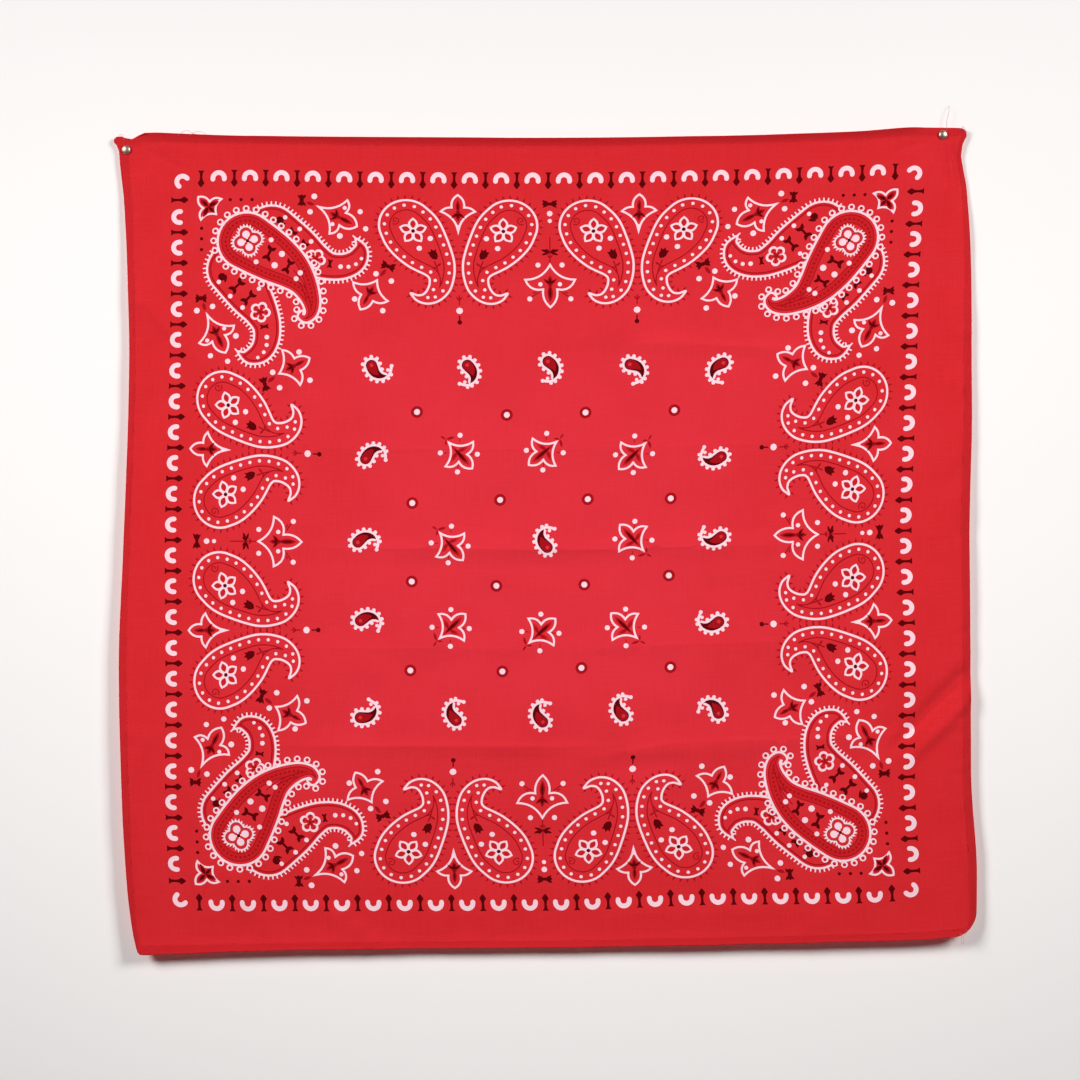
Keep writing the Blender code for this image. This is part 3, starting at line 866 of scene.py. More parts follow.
# ------------------------------------------------------------------------------------------------
# Materials
# ------------------------------------------------------------------------------------------------

# Sockets known by number: an object's own place, whether a face is seen from behind, and a colour mix's
# factor, two colours and result.
OWN_PLACE, FROM_BEHIND = 3, 6
MIX_FACTOR, MIX_FIRST, MIX_SECOND, MIX_RESULT = 0, 6, 7, 2

# The weave's pitch in millimetres, the painted shade of the turned edges, where the doubled hem and its roll
# keep light off, and the darker tone of the slubs.
WEAVE_PITCH = 0.9
COTTON_ROUGHNESS = 0.86
HEM_PAINTED_SHADE = (0.86, 0.74, 0.76, 1.0)
SLUB_SHADE = (0.92, 0.90, 0.91, 1.0)
UNSHADED = (1.0, 1.0, 1.0, 1.0)


def connect(node, inputs):
    """Sets a node's inputs, each to a wire or to a plain value."""
    for name, value in inputs.items():
        if isinstance(value, Wire):
            value.tree.links.new(value.socket, node.inputs[name])
        else:
            node.inputs[name].default_value = value


class Wire:
    """A socket in a material's nodes. Arithmetic on it adds Math nodes, and node() adds any other node."""

    def __init__(self, tree, socket=None):
        self.tree, self.socket = tree, socket

    def node(self, kind, settings=None, inputs=None, output=0):
        made = self.tree.nodes.new(kind)
        for name, value in (settings or {}).items():
            setattr(made, name, value)
        connect(made, inputs or {})
        return Wire(self.tree, made.outputs[output])

    def maths(self, operation, *values):
        return self.node("ShaderNodeMath", {"operation": operation}, dict(enumerate(values)))

    def __add__(self, other):
        return self.maths("ADD", self, other)

    def __sub__(self, other):
        return self.maths("SUBTRACT", self, other)

    def __rsub__(self, other):
        return self.maths("SUBTRACT", other, self)

    def __mul__(self, other):
        return self.maths("MULTIPLY", self, other)

    __radd__ = __add__

    def sine(self):
        return self.maths("SINE", self)

    def limited(self):
        return self.node("ShaderNodeClamp", inputs={0: self})

    def least(self, other):
        return self.maths("MINIMUM", self, other)

    def darkened(self, colour):
        """This colour times the other."""
        return self.node("ShaderNodeMix", {"data_type": "RGBA", "blend_type": "MULTIPLY"},
                         {MIX_FACTOR: 1.0, MIX_FIRST: colour, MIX_SECOND: self}, MIX_RESULT)

    def noise(self, scale, detail=2.0, roughness=0.5):
        """Noise over this place, from 0 to 1."""
        return self.node("ShaderNodeTexNoise", {"normalize": True},
                         {"Vector": self, "Scale": scale, "Detail": detail, "Roughness": roughness})

    def stretched(self, x, y):
        return self.node("ShaderNodeVectorMath", {"operation": "MULTIPLY"}, {0: self, 1: (x, y, 0.0)})

    def part(self, output):
        return self.node("ShaderNodeSeparateXYZ", inputs={0: self}, output=output)

    def tint(self, colour, other):
        """A colour, changing to the other as this goes from 0 to 1."""
        return self.node("ShaderNodeMix", {"data_type": "RGBA"},
                         {MIX_FACTOR: self, MIX_FIRST: colour, MIX_SECOND: other}, MIX_RESULT)


def opaque(colour, light=1.0):
    return tuple(channel * light for channel in colour[:3]) + (1.0,)


def blended(colour, other, share):
    return tuple(a + (b - a) * share for a, b in zip(colour[:3], other[:3]))


def new_material(name):
    material = bpy.data.materials.new(name)
    material.use_nodes = True
    shader = material.node_tree.nodes["Principled BSDF"]
    return material, Wire(material.node_tree), shader


def bump(height, strength, distance):
    inputs = {"Strength": strength, "Distance": distance, "Height": height}
    return height.node("ShaderNodeBump", inputs=inputs)


def cloth_place(start):
    """Places on the flat cloth in millimetres, from its map."""
    return start.node("ShaderNodeUVMap", {"uv_map": "flat_cloth"}).stretched(CLOTH_WIDTH, CLOTH_DROP)


def cotton(name, colour, worn_colour, painted_highlight_colour, wear, fuzzy=1.0):
    """Plain-woven cotton in one ink: thread slubs, worn ink, soft fuzz and the weave itself.

    From the hems to the middle the ink changes slowly to its painted highlight colour, a painted pool of light
    where the lamps fall brightest, with random cloud mixed in. A painted shade darkens it along the turned
    edges.
    """
    material, start, shader = new_material(name)
    place = cloth_place(start)
    warp, weft = place.stretched(1.9, 0.045).noise(1.0), place.stretched(0.045, 1.9).noise(1.0)
    slubs = warp * 0.5 + weft * 0.5
    cloud = place.noise(0.016, 3.0, 0.55)
    fuzz = place.noise(1.3, 2.0, 0.6)
    from_left, from_top = place.part(0), place.part(1)
    inward = from_left.least(CLOTH_WIDTH - from_left).least(from_top.least(CLOTH_DROP - from_top))
    # Painted highlight: the lighter middle colour's share grows from the hems inward, a painted pool of light,
    # with random cloud in it.
    middle = (inward * 0.0062 + (cloud - 0.5) * 1.1 - 0.15).limited()
    dyed = middle.tint(opaque(colour), opaque(painted_highlight_colour))
    worn = ((fuzz - 0.5) * 2.0 + (slubs - 0.5) * 1.4 + 0.3).limited() * wear
    with_wear = worn.tint(dyed, opaque(worn_colour))
    # Painted shade: the outer few millimetres are darkened to stand in for the light that the doubled hem and
    # its roll keep off.
    turned = ((inward - 4.2) * 0.9).limited()
    dark = ((slubs - 0.5) * 1.1 + (cloud - 0.5) * 0.7 + 0.6).limited()
    shade = dark.tint(SLUB_SHADE, UNSHADED).darkened(with_wear)
    pitch = 2.0 * pi / WEAVE_PITCH
    threads = (from_left * pitch).sine() * (from_top * pitch).sine()
    connect(shader, {
        "Base Color": turned.tint(HEM_PAINTED_SHADE, UNSHADED).darkened(shade),
        "Roughness": slubs * 0.16 + (COTTON_ROUGHNESS - 0.08),
        "Normal": bump(threads * 0.5 + slubs * 1.2 + fuzz * 0.4, 0.4, 0.0001),
        "Specular IOR Level": 0.13 * fuzzy,
        "Sheen Weight": 0.14 * fuzzy,
        "Sheen Roughness": 0.45,
        "Sheen Tint": (1.0, 0.62, 0.68, 1.0),
    })
    return material


def thread_finish(name, colour):
    """Sewing thread: two twisted plies, a little glossier than the cloth."""
    material, start, shader = new_material(name)
    place = start.node("ShaderNodeTexCoord", output=OWN_PLACE)
    twist = place.node("ShaderNodeTexWave", {"bands_direction": "DIAGONAL"},
                       {"Vector": place, "Scale": 900.0, "Distortion": 0.4}, 1)
    fibre = place.noise(2400.0)
    connect(shader, {
        "Base Color": (twist * 0.6 + fibre * 0.4).tint(opaque(colour, 0.72), opaque(colour, 1.08)),
        "Roughness": 0.62 + fibre * 0.14,
        "Normal": bump(twist, 0.5, 0.00006),
        "Specular IOR Level": 0.15,
        "Sheen Weight": 0.06,
    })
    return material


def steel_finish(name, colour):
    """Bright steel with a fine noise grain and faint smudges."""
    material, start, shader = new_material(name)
    place = start.node("ShaderNodeTexCoord", output=OWN_PLACE)
    smudge, grain = place.noise(260.0, 3.0), place.noise(5200.0)
    connect(shader, {
        "Base Color": smudge.tint(opaque(colour, 0.86), opaque(colour)),
        "Roughness": 0.30 + smudge * 0.16 + grain * 0.05,
        "Normal": bump(grain, 0.15, 0.00002),
        "Metallic": 1.0,
    })
    return material


def wall_finish(name, colour):
    """Matt white board with a faint mottle, clear from behind so that the back of the cloth can be seen."""
    material, start, shader = new_material(name)
    place = start.node("ShaderNodeTexCoord", output=OWN_PLACE)
    connect(shader, {
        "Base Color": place.noise(6.0, 3.0).tint(opaque(colour, 0.985), opaque(colour)),
        "Roughness": 0.9,
        "Specular IOR Level": 0.1,
    })
    behind = start.node("ShaderNodeNewGeometry", output=FROM_BEHIND)
    clear = start.node("ShaderNodeBsdfTransparent")
    solid = Wire(material.node_tree, shader.outputs[0])
    seen = start.node("ShaderNodeMixShader", inputs={0: behind, 1: solid, 2: clear})
    connect(material.node_tree.nodes["Material Output"], {"Surface": seen})
    return material


# ------------------------------------------------------------------------------------------------
# Meshes
# ------------------------------------------------------------------------------------------------

# Where the print lies on the flat cloth, and its size between its border lines.
PRINT_MIDDLE = (278.0, 267.0)
PRINT_ACROSS = 488.0
PRINT_DOWN = 482.0

# The cloth's mesh: its lines are GRID apart. Closer lines run beside each crease and in from each edge,
# and the others keep clear of them. Points closer than SAME_POINT become one.
GRID = 9.0
CREASES_ACROSS = (281.0,)
CREASES_DOWN = (140.0, 206.0, 272.0, 338.0, 404.0)
CREASE_ASIDES = (-4.6, -2.0, -0.7, 0.7, 2.0, 4.6)
CREASE_CLEAR = 6.0
EDGE_STEPS = (2.0, 4.2, 7.0, 10.0)
EDGE_CLEAR = 12.5
SAME_POINT = 0.01
# Where the mesh is closer, for the sharp folds there.
CLOSE_PATCHES = (
    # left, right, top, bottom, apart
    (499.3, 557.0, 2.9, 56.0, 2.3),
    (3.1, 58.0, 3.3, 56.0, 2.3),
    (492.4, 557.0, 343.3, 436.0, 2.5),
    (3.3, 46.0, 94.2, 150.0, 2.9),
)

# The print on the back: the width and height together above which an outline shows through, the least of
# the white ones and their points, the size below which points are halved, and how far others are thinned.
BACK_SIZE = 8.0
BACK_WHITE_SIZE = 3.4
BACK_WHITE_POINTS = 6
HALVED_SIZE = 5.0
BACK_SLACK = 0.35

# How many inks the front has. Those of the back follow them.
BACK = 5


def new_piece(name, points, faces, materials, inks=None, normals=None, flat=None):
    """An object from points in metres. Flat gives each point's place on the flat cloth, for the weave."""
    mesh = bpy.data.meshes.new(name)
    mesh.from_pydata(np.asarray(points).tolist(), [], faces)
    for material in materials:
        mesh.materials.append(material)
    mesh.shade_smooth()
    if inks is not None:
        mesh.polygons.foreach_set("material_index", np.asarray(inks, np.int32))
    if flat is not None:
        corner_of = np.zeros(len(mesh.loops), np.int32)
        mesh.loops.foreach_get("vertex_index", corner_of)
        spots = np.stack([flat[:, 0] / CLOTH_WIDTH, flat[:, 1] / CLOTH_DROP], axis=1)[corner_of]
        mesh.uv_layers.new(name="flat_cloth").data.foreach_set("uv", spots.astype(np.float32).ravel())
    if normals is not None:
        mesh.normals_split_custom_set_from_vertices(np.asarray(normals).tolist())
    piece = bpy.data.objects.new(name, mesh)
    bpy.context.scene.collection.objects.link(piece)
    return piece


def on_body(piece, slot, *nodes):
    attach(piece, "root")
    if nodes:
        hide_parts(*nodes)
    return piece


def beside_edge(along, inward, level, far):
    """Across and down for places along an edge: level or upright, at the near or the far side."""
    if far:
        inward = (CLOTH_DROP if level else CLOTH_WIDTH) - inward
    return (along, inward) if level else (inward, along)


def grid(across, down):
    """Every crossing of lines across and lines down."""
    return (across + 1j * down[:, None]).ravel()


def cloth_lines(length, spacing, creases_at, inset):
    """Mesh lines along one side of the flat cloth, closer beside its creases and its edges."""
    lines = list(np.linspace(inset, length - inset, round(length / spacing) + 1))
    for place in creases_at:
        lines = [at for at in lines if abs(at - place) > CREASE_CLEAR]
        lines += [place + aside for aside in CREASE_ASIDES]
    for side, sign in ((inset, 1), (length - inset, -1)):
        lines = [at for at in lines if sign * (at - side) > EDGE_CLEAR or at == side]
        lines += [side + sign * step for step in EDGE_STEPS]
    return np.array(sorted(lines))


def printed_side(shapes, lines_across, lines_down):
    """Triangles of the flat cloth that follow every outline of the print, each with its ink.

    Gives the points as across and down, the triangles, their inks and the rim's points in order.
    """
    left, right, top, bottom = lines_across[0], lines_across[-1], lines_down[0], lines_down[-1]
    rim = np.concatenate([lines_across[:-1] + 1j * top, right + 1j * lines_down[:-1],
                          lines_across[:0:-1] + 1j * bottom, left + 1j * lines_down[:0:-1]])
    scale_across, scale_down = PRINT_ACROSS / 2 / RING, PRINT_DOWN / 2 / RING
    outlines = [rim] + [complex(*PRINT_MIDDLE) + outline.real * scale_across + 1j * outline.imag * scale_down
                        for ink, outline in shapes]
    inks = np.array([GROUND] + [ink for ink, outline in shapes])
    inner = grid(lines_across[1:-1], lines_down[1:-1])
    patches = [grid(np.arange(left_end, right_end, apart), np.arange(top_end, bottom_end, apart))
               for left_end, right_end, top_end, bottom_end, apart in CLOSE_PATCHES]
    points = np.concatenate(outlines + [inner] + patches)
    ends = np.cumsum([len(outline) for outline in outlines])
    edges = [(k, k + 1 if k + 1 < end else start)
             for start, end in zip([0, *ends[:-1]], ends) for k in range(start, end)]
    flat, _, triangles, from_points, _, _ = geometry.delaunay_2d_cdt(
        [Vector((point.real, point.imag)) for point in points], edges, [], 0, SAME_POINT)
    flat = np.array([tuple(place) for place in flat])
    triangles = np.array(triangles)
    spots = (flat[triangles, 0] + 1j * flat[triangles, 1]).mean(axis=1)
    index = {first: made for made, given in enumerate(from_points) for first in given}
    return flat, triangles, inked(spots, outlines, inks), [index[k] for k in range(len(rim))]


def inked(spots, outlines, inks):
    """The ink at each spot: that of the last outline drawn round it."""
    order = np.argsort(spots.real)
    spots, result = spots[order], np.full(len(spots), GROUND)
    for outline, ink in zip(outlines[1:], inks[1:]):
        first, last = np.searchsorted(spots.real, (outline.real.min(), outline.real.max()))
        level = spots.imag[first:last]
        near = first + np.flatnonzero((level > outline.imag.min()) & (level < outline.imag.max()))
        after, place = np.roll(outline, -1)[:, None], spots[near]
        start = outline[:, None]
        spans = (start.imag > place.imag) != (after.imag > place.imag)
        with np.errstate(divide="ignore", invalid="ignore"):
            cut = (start.real + (place.imag - start.imag) * (after.real - start.real)
                   / (after.imag - start.imag))
        turns = np.where(spans & (place.real < cut), np.where(after.imag > start.imag, 1, -1), 0).sum(axis=0)
        result[near[turns != 0]] = ink
    back = np.empty(len(order), int)
    back[order] = result
    return back


def across_both(outline):
    return np.ptp(outline.real) + np.ptp(outline.imag)


def coarser(outline):
    """An outline with fewer points, for the print that shows through to the back."""
    if across_both(outline) < HALVED_SIZE:
        return outline[::2]
    return thinned(np.append(outline, outline[:1]), BACK_SLACK)[:-1]


def shows_through(ink, outline):
    """Whether an outline shows on the back: the large ones do, and so do the middling white ones."""
    if across_both(outline) > BACK_SIZE:
        return True
    return ink == WHITE and across_both(outline) > BACK_WHITE_SIZE and len(outline) > BACK_WHITE_POINTS


def cloth_shell(shapes, back_shapes, inset, thick):
    """The printed cloth as a closed shell: its front, its back and the rim between them."""
    lines_across = cloth_lines(CLOTH_WIDTH, GRID, CREASES_ACROSS, inset)
    lines_down = cloth_lines(CLOTH_DROP, GRID, CREASES_DOWN, inset)
    flat, triangles, inks, rim = printed_side(shapes, lines_across, lines_down)
    back_flat, back_triangles, back_inks, back_rim = printed_side(back_shapes, lines_across, lines_down)
    ways, back_ways = facing(*flat.T), -facing(*back_flat.T)
    points = np.concatenate([hang(*flat.T), hang(*back_flat.T, thick)]) * MM
    count = len(flat)
    faces = [tuple(reversed(triangle)) for triangle in triangles]
    faces += [tuple(corner + count for corner in triangle) for triangle in back_triangles]
    for here, after in zip(range(len(rim)), [*range(1, len(rim)), 0]):
        faces.append((rim[here], rim[after], back_rim[after] + count, back_rim[here] + count))
    all_inks = np.concatenate([inks, back_inks + BACK, np.full(len(rim), GROUND)])
    return points, faces, all_inks, np.concatenate([ways, back_ways]), np.concatenate([flat, back_flat])


def swept(sections):
    """A closed tube through sections, which are rows of the same number of points."""
    count, sides = sections.shape[:2]
    faces = []
    for row in range(count - 1):
        here, there = row * sides, (row + 1) * sides
        faces += [(here + k, here + (k + 1) % sides, there + (k + 1) % sides, there + k)
                  for k in range(sides)]
    faces += [tuple(range(sides))[::-1], tuple(range((count - 1) * sides, count * sides))]
    return sections.reshape(-1, 3), faces


def tube(path, radius, sides=6):
    """A round tube along a path in millimetres, thinning at its ends where radius is a row."""
    path = np.asarray(path, float)
    ways = np.gradient(path, axis=0)
    ways /= np.linalg.norm(ways, axis=1, keepdims=True)
    aside = np.cross(ways, np.array([0.31, 0.87, 0.38]))
    aside /= np.linalg.norm(aside, axis=1, keepdims=True)
    up = np.cross(ways, aside)
    around = 2.0 * pi * np.arange(sides) / sides
    radius = np.broadcast_to(radius, len(path))[:, None, None]
    ring = aside[:, None] * np.cos(around)[None, :, None] + up[:, None] * np.sin(around)[None, :, None]
    return swept(path[:, None] + radius * ring)


def joined(parts):
    """Points and faces of several meshes as one."""
    points, faces, total = [], [], 0
    for part_points, part_faces in parts:
        points.append(part_points)
        faces += [tuple(corner + total for corner in face) for face in part_faces]
        total += len(part_points)
    return np.concatenate(points), faces


# ------------------------------------------------------------------------------------------------
# The pieces
# ------------------------------------------------------------------------------------------------

# The ground where its ink is worn.
GROUND_WORN = (0.80, 0.07, 0.09)
# The cloth's bare colour on the back, its share in the ground there and the ground's share in every ink,
# and the ground's share in the rich red.
BARE_COTTON = (0.80, 0.30, 0.32)
BARE_SHARE = 0.16
BACK_SHARE = 0.72
RICH_SHARE = 0.68

# The cloth's edges: which of the four is level, and which lies at the far side.
EDGES = (("top", True, False), ("bottom", True, True), ("left", False, False), ("right", False, True))

# The steps round each side of a hem's fold, the rows along the level and the upright hems, and the room
# that the upright hems leave beside the level ones.
FOLD_STEPS = 7
LEVEL_ROWS, UPRIGHT_ROWS = 190, 178
HEM_CLEAR = 0.3

# A stitch: its points along and off the cloth, its thickness at them, and how far the back ones stand off.
STITCH_ALONG = (-1.0, -0.72, 0.0, 0.72, 1.0)
STITCH_RISES = (-0.9, 0.45, 0.8, 0.45, -0.9)
STITCH_WIDTHS = (0.6, 1.0, 1.1, 1.0, 0.6)
STITCH_OFF_BACK = 0.06
# The loose threads' radius, and the share of it at their ends.
LOOSE_RADIUS, LOOSE_TAPER = 0.16, 0.55

# A pin: the room under its head, its steps up the dome, the bevels at the rim's foot and at the shank's
# top, and how far behind the wall's face its shank and its point end.
HEAD_CLEAR = 0.3
DOME_STEPS = 10
RIM_BEVEL, SHANK_BEVEL = 0.12, 0.25
SHANK_END, POINT_END = 6.0, 8.0

# The stage, in metres.
FLOOR_HALF = 3.0
CAMERA_TARGET = (0.0035, -0.007, -0.263)
LIGHT_TARGET = (0.0, 0.0, -0.36)
SENSOR_WIDTH = 36.0
WORLD_STRENGTH = 0.01


def hem_section(sizes):
    """The turned edge: it wraps the rim, then lies behind the cloth with its raw edge turned under.

    Each point is given by how far in from the edge and how far behind the front it lies.
    """
    wall, gap, wide = sizes.wall / MM, sizes.seam_gap / MM, sizes.hem_width / MM
    deep = 2.0 * wall + gap
    turns = np.linspace(0.0, pi, FOLD_STEPS)
    outer = [(deep / 2 * (1 - np.sin(turn)), deep / 2 * (1 - np.cos(turn))) for turn in turns]
    inner = [(deep / 2 - (deep / 2 - wall) * np.sin(turn), deep / 2 + (deep / 2 - wall) * np.cos(turn))
             for turn in turns]
    back = [(wide * 0.35, deep + 0.03), (wide * 0.7, deep + 0.10), (wide - 0.35, deep + 0.08),
            (wide, deep - wall / 2 + 0.05), (wide - 0.3, deep - wall + 0.02), (wide * 0.5, deep - wall)]
    return np.array(outer + back + inner)


def size_of(name, description, default, least, most):
    return FloatProperty(name=name, description=description, default=default, min=least, max=most,
                         subtype="DISTANCE", unit="LENGTH")


def colour_of(name, description, default):
    return FloatVectorProperty(name=name, description=description, default=default, subtype="COLOR", size=3,
                               min=0.0, max=1.0)


class ClothSizes(bpy.types.PropertyGroup):
    wall: size_of("Wall", "Thickness of the woven cloth", 0.00045, 0.0002, 0.001)
    seam_gap: size_of("Hem gap", "Air between the cloth and its turned hem", 0.0003, 0.0001, 0.001)
    hem_width: size_of("Hem width", "Width of the turned hems", 0.0065, 0.004, 0.012)
    ground: colour_of("Ground", "Colour of the dyed ground by the hems", (0.65, 0.0125, 0.0175))
    # The middle ground is a painted highlight: the ground painted lighter toward the middle, where the light
    # falls brightest.
    ground_painted_highlight: colour_of("Middle ground", "Colour of the dyed ground in the middle", (0.70, 0.021, 0.036))
    white: colour_of("White", "Colour of the white ink", (0.95, 0.69, 0.755))
    black: colour_of("Black", "Colour of the dark ink", (0.085, 0.0008, 0.0015))
    deep: colour_of("Deep red", "Colour of the red shading ink", (0.34, 0.0035, 0.008))


class StitchSizes(bpy.types.PropertyGroup):
    length: size_of("Stitch", "Length of a stitch", 0.0021, 0.001, 0.004)
    pitch: size_of("Pitch", "From one stitch to the next", 0.0028, 0.0015, 0.005)
    inset: size_of("Inset", "From the cloth's edge to the stitches", 0.0050, 0.002, 0.010)
    thickness: size_of("Thread", "Thickness of the sewing thread", 0.00022, 0.0001, 0.001)
    colour: colour_of("Thread colour", "Colour of the sewing thread", (0.56, 0.014, 0.02))


class PinSizes(bpy.types.PropertyGroup):
    head_radius: size_of("Head radius", "Radius of a pin's head", 0.0030, 0.002, 0.006)
    dome: size_of("Dome", "Height of the head's dome", 0.0013, 0.0005, 0.003)
    rim: size_of("Rim", "Height of the head's upright rim", 0.0005, 0.0002, 0.002)
    shank_radius: size_of("Shank radius", "Radius of a pin's shank", 0.0006, 0.0003, 0.001)
    sides: IntProperty(name="Sides", description="Flat sides round a pin", default=48, min=16, max=96)
    # The steel's own colour is tinted warm brown. The tint is partly a painted reflection of the red cloth and
    # the wall around the heads.
    colour: colour_of("Steel", "Colour of the steel", (0.64, 0.46, 0.37))


class StageSizes(bpy.types.PropertyGroup):
    wall_half: size_of("Wall half width", "Half the width of the wall", 1.6, 1.0, 4.0)
    floor_depth: size_of("Floor depth", "How far the floor lies below the pins", 2.2, 0.8, 3.0)
    camera_away: size_of("Camera distance", "From the cloth to the camera", 1.683, 0.5, 5.0)
    camera_lens: FloatProperty(name="Lens", description="Focal length of the camera, in millimetres",
                               default=85.0, min=20.0, max=200.0)
    wall_colour: colour_of("Wall colour", "Colour of the wall", (0.915, 0.893, 0.876))
    light_power: FloatProperty(name="Light power", description="Power that each light has a share of, in watts",
                               default=7.1, min=0.0, max=500.0)


class BANDANA_OT_panel(bpy.types.Operator):
    """Makes the printed cloth as it hangs"""
    bl_idname = "bandana.panel"
    bl_label = "Hang the printed cloth"

    def execute(self, context):
        sizes = context.scene.bandana_cloth
        finishes = []
        faded = blended(sizes.ground, BARE_COTTON, BARE_SHARE)
        rich = blended(sizes.deep, sizes.ground, RICH_SHARE)
        for side, base, share in (("front", sizes.ground, 0.0), ("back", faded, BACK_SHARE)):
            for ink, colour, worn, middle, wear, fuzzy in (
                    ("red", sizes.ground, GROUND_WORN, sizes.ground_painted_highlight, 0.25, 1.0),
                    ("white", sizes.white, (0.88, 0.42, 0.50), sizes.white, 0.4, 1.0),
                    ("black", sizes.black, (0.24, 0.006, 0.012), sizes.black, 0.4, 0.12),
                    ("deep_red", sizes.deep, (0.55, 0.012, 0.020), sizes.deep, 0.4, 0.3),
                    ("rich_red", rich, sizes.ground, rich, 0.4, 0.7)):
                colours = [blended(each, base, share) for each in (colour, worn, middle)]
                finishes.append(cotton(f"cotton_{ink}_{side}", *colours, wear, fuzzy))
        shapes = whole_print()
        back_shapes = [(ink, coarser(outline)) for ink, outline in shapes if shows_through(ink, outline)]
        wall = sizes.wall / MM
        points, faces, inks, ways, flat = cloth_shell(shapes, back_shapes, wall, wall)
        cloth = on_body(new_piece("cloth", points, faces, finishes, inks, ways, flat), "cotton", "panel")
        return {"FINISHED"}


class BANDANA_OT_hems(bpy.types.Operator):
    """Turns the four hems round the cloth's edges"""
    bl_idname = "bandana.hems"
    bl_label = "Turn the hems"

    def execute(self, context):
        sizes = context.scene.bandana_cloth
        section = hem_section(sizes)
        wide = sizes.hem_width / MM + HEM_CLEAR
        cloth_red = cotton("cotton_hem", sizes.ground, GROUND_WORN, sizes.ground_painted_highlight, 0.25)
        level_way = np.linspace(0.0, CLOTH_WIDTH, LEVEL_ROWS)
        upright_way = np.linspace(wide, CLOTH_DROP - wide, UPRIGHT_ROWS)
        for name, level, far in EDGES:
            rows, flat = [], []
            for place in level_way if level else upright_way:
                spot = beside_edge(np.full(len(section), place), section[:, 0], level, far)
                rows.append(hang(*spot, section[:, 1]))
                flat.append(np.stack(spot, axis=1))
            points, faces = swept(np.array(rows) * MM)
            if level != far:
                faces = [face[::-1] for face in faces]
            piece = new_piece(f"turned_hem_{name}", points, faces, [cloth_red], flat=np.concatenate(flat))
            piece.data.set_sharp_from_angle(angle=radians(50.0))
            on_body(piece, "cotton", f"hem_{name}")
        return {"FINISHED"}


class BANDANA_OT_stitches(bpy.types.Operator):
    """Sews the hems down with a row of lock stitches, seen on the front and the back"""
    bl_idname = "bandana.stitches"
    bl_label = "Sew the hems"

    def execute(self, context):
        sizes, cloth = context.scene.bandana_stitches, context.scene.bandana_cloth
        inset, half, radius = sizes.inset / MM, sizes.length / MM / 2, sizes.thickness / MM / 2
        deep = (2 * cloth.wall + cloth.seam_gap) / MM
        finish = thread_finish("sewing_thread", sizes.colour)
        rises = np.array(STITCH_RISES) * radius
        for side, base, way in (("front", 0.0, -1.0), ("back", deep + STITCH_OFF_BACK, 1.0)):
            parts = []
            for _, level, far in EDGES:
                length = CLOTH_WIDTH if level else CLOTH_DROP
                count = int((length - 2 * inset) / (sizes.pitch / MM))
                for k in range(count):
                    middle = inset + (k + 0.5) * (length - 2 * inset) / count
                    sway = 0.16 * np.sin(k * 1.7) + 0.22 * np.sin(k * 0.31 + length)
                    along = middle + half * np.array(STITCH_ALONG)
                    spot = beside_edge(along, np.full(len(along), inset + sway), level, far)
                    parts.append(tube(hang(*spot, base + way * rises), radius * np.array(STITCH_WIDTHS), 5))
            points, faces = joined(parts)
            on_body(new_piece(f"hem_stitches_{side}", points * MM, faces, [finish]), "cotton")
        return {"FINISHED"}


# Loose threads, each by the places on the flat cloth that it passes, with how far it stands off the front.
LOOSE_THREADS = (
    # across, down, off
    ((34.0, 1.6, 0.2), (37.0, -0.5, 0.7), (40.5, -1.5, 0.6), (43.0, -0.6, 0.9), (46.5, 0.5, 0.4)),
    ((42.0, 1.2, 0.2), (45.0, -0.9, 0.5), (49.5, -1.3, 0.9), (53.0, 0.2, 0.3)),
    ((5.5, 3.0, 0.2), (3.5, -0.6, 0.6), (1.0, -1.5, 0.5), (-1.2, -0.8, 0.4)),
    ((541.5, 3.0, 0.2), (541.2, -4.0, 0.4), (542.6, -10.0, 0.6), (541.8, -15.0, 0.3)),
    ((552.0, 2.0, 0.3), (556.0, -1.0, 0.8), (559.5, -0.4, 0.6), (561.0, 2.6, 0.4)),
    ((550.5, 536.0, 0.2), (553.0, 539.5, 0.5), (553.6, 543.5, 0.7), (556.4, 545.6, 0.5), (557.2, 542.0, 0.6)),
    ((553.5, 534.0, 0.2), (556.5, 537.0, 0.6), (556.0, 541.0, 0.4)),
)


class BANDANA_OT_threads(bpy.types.Operator):
    """Adds the loose threads at the corners and the top edge"""
    bl_idname = "bandana.threads"
    bl_label = "Fray the edges"

    def execute(self, context):
        sizes = context.scene.bandana_stitches
        parts = []
        for table in LOOSE_THREADS:
            across, down, off = smooth(table).T
            path = hang(across, down, -off)
            parts.append(tube(path, LOOSE_RADIUS * np.linspace(1.0, LOOSE_TAPER, len(path))))
        points, faces = joined(parts)
        finish = thread_finish("loose_cotton", blended(sizes.colour, (0.9, 0.45, 0.5), 0.35))
        on_body(new_piece("loose_threads", points * MM, faces, [finish]), "cotton")
        return {"FINISHED"}


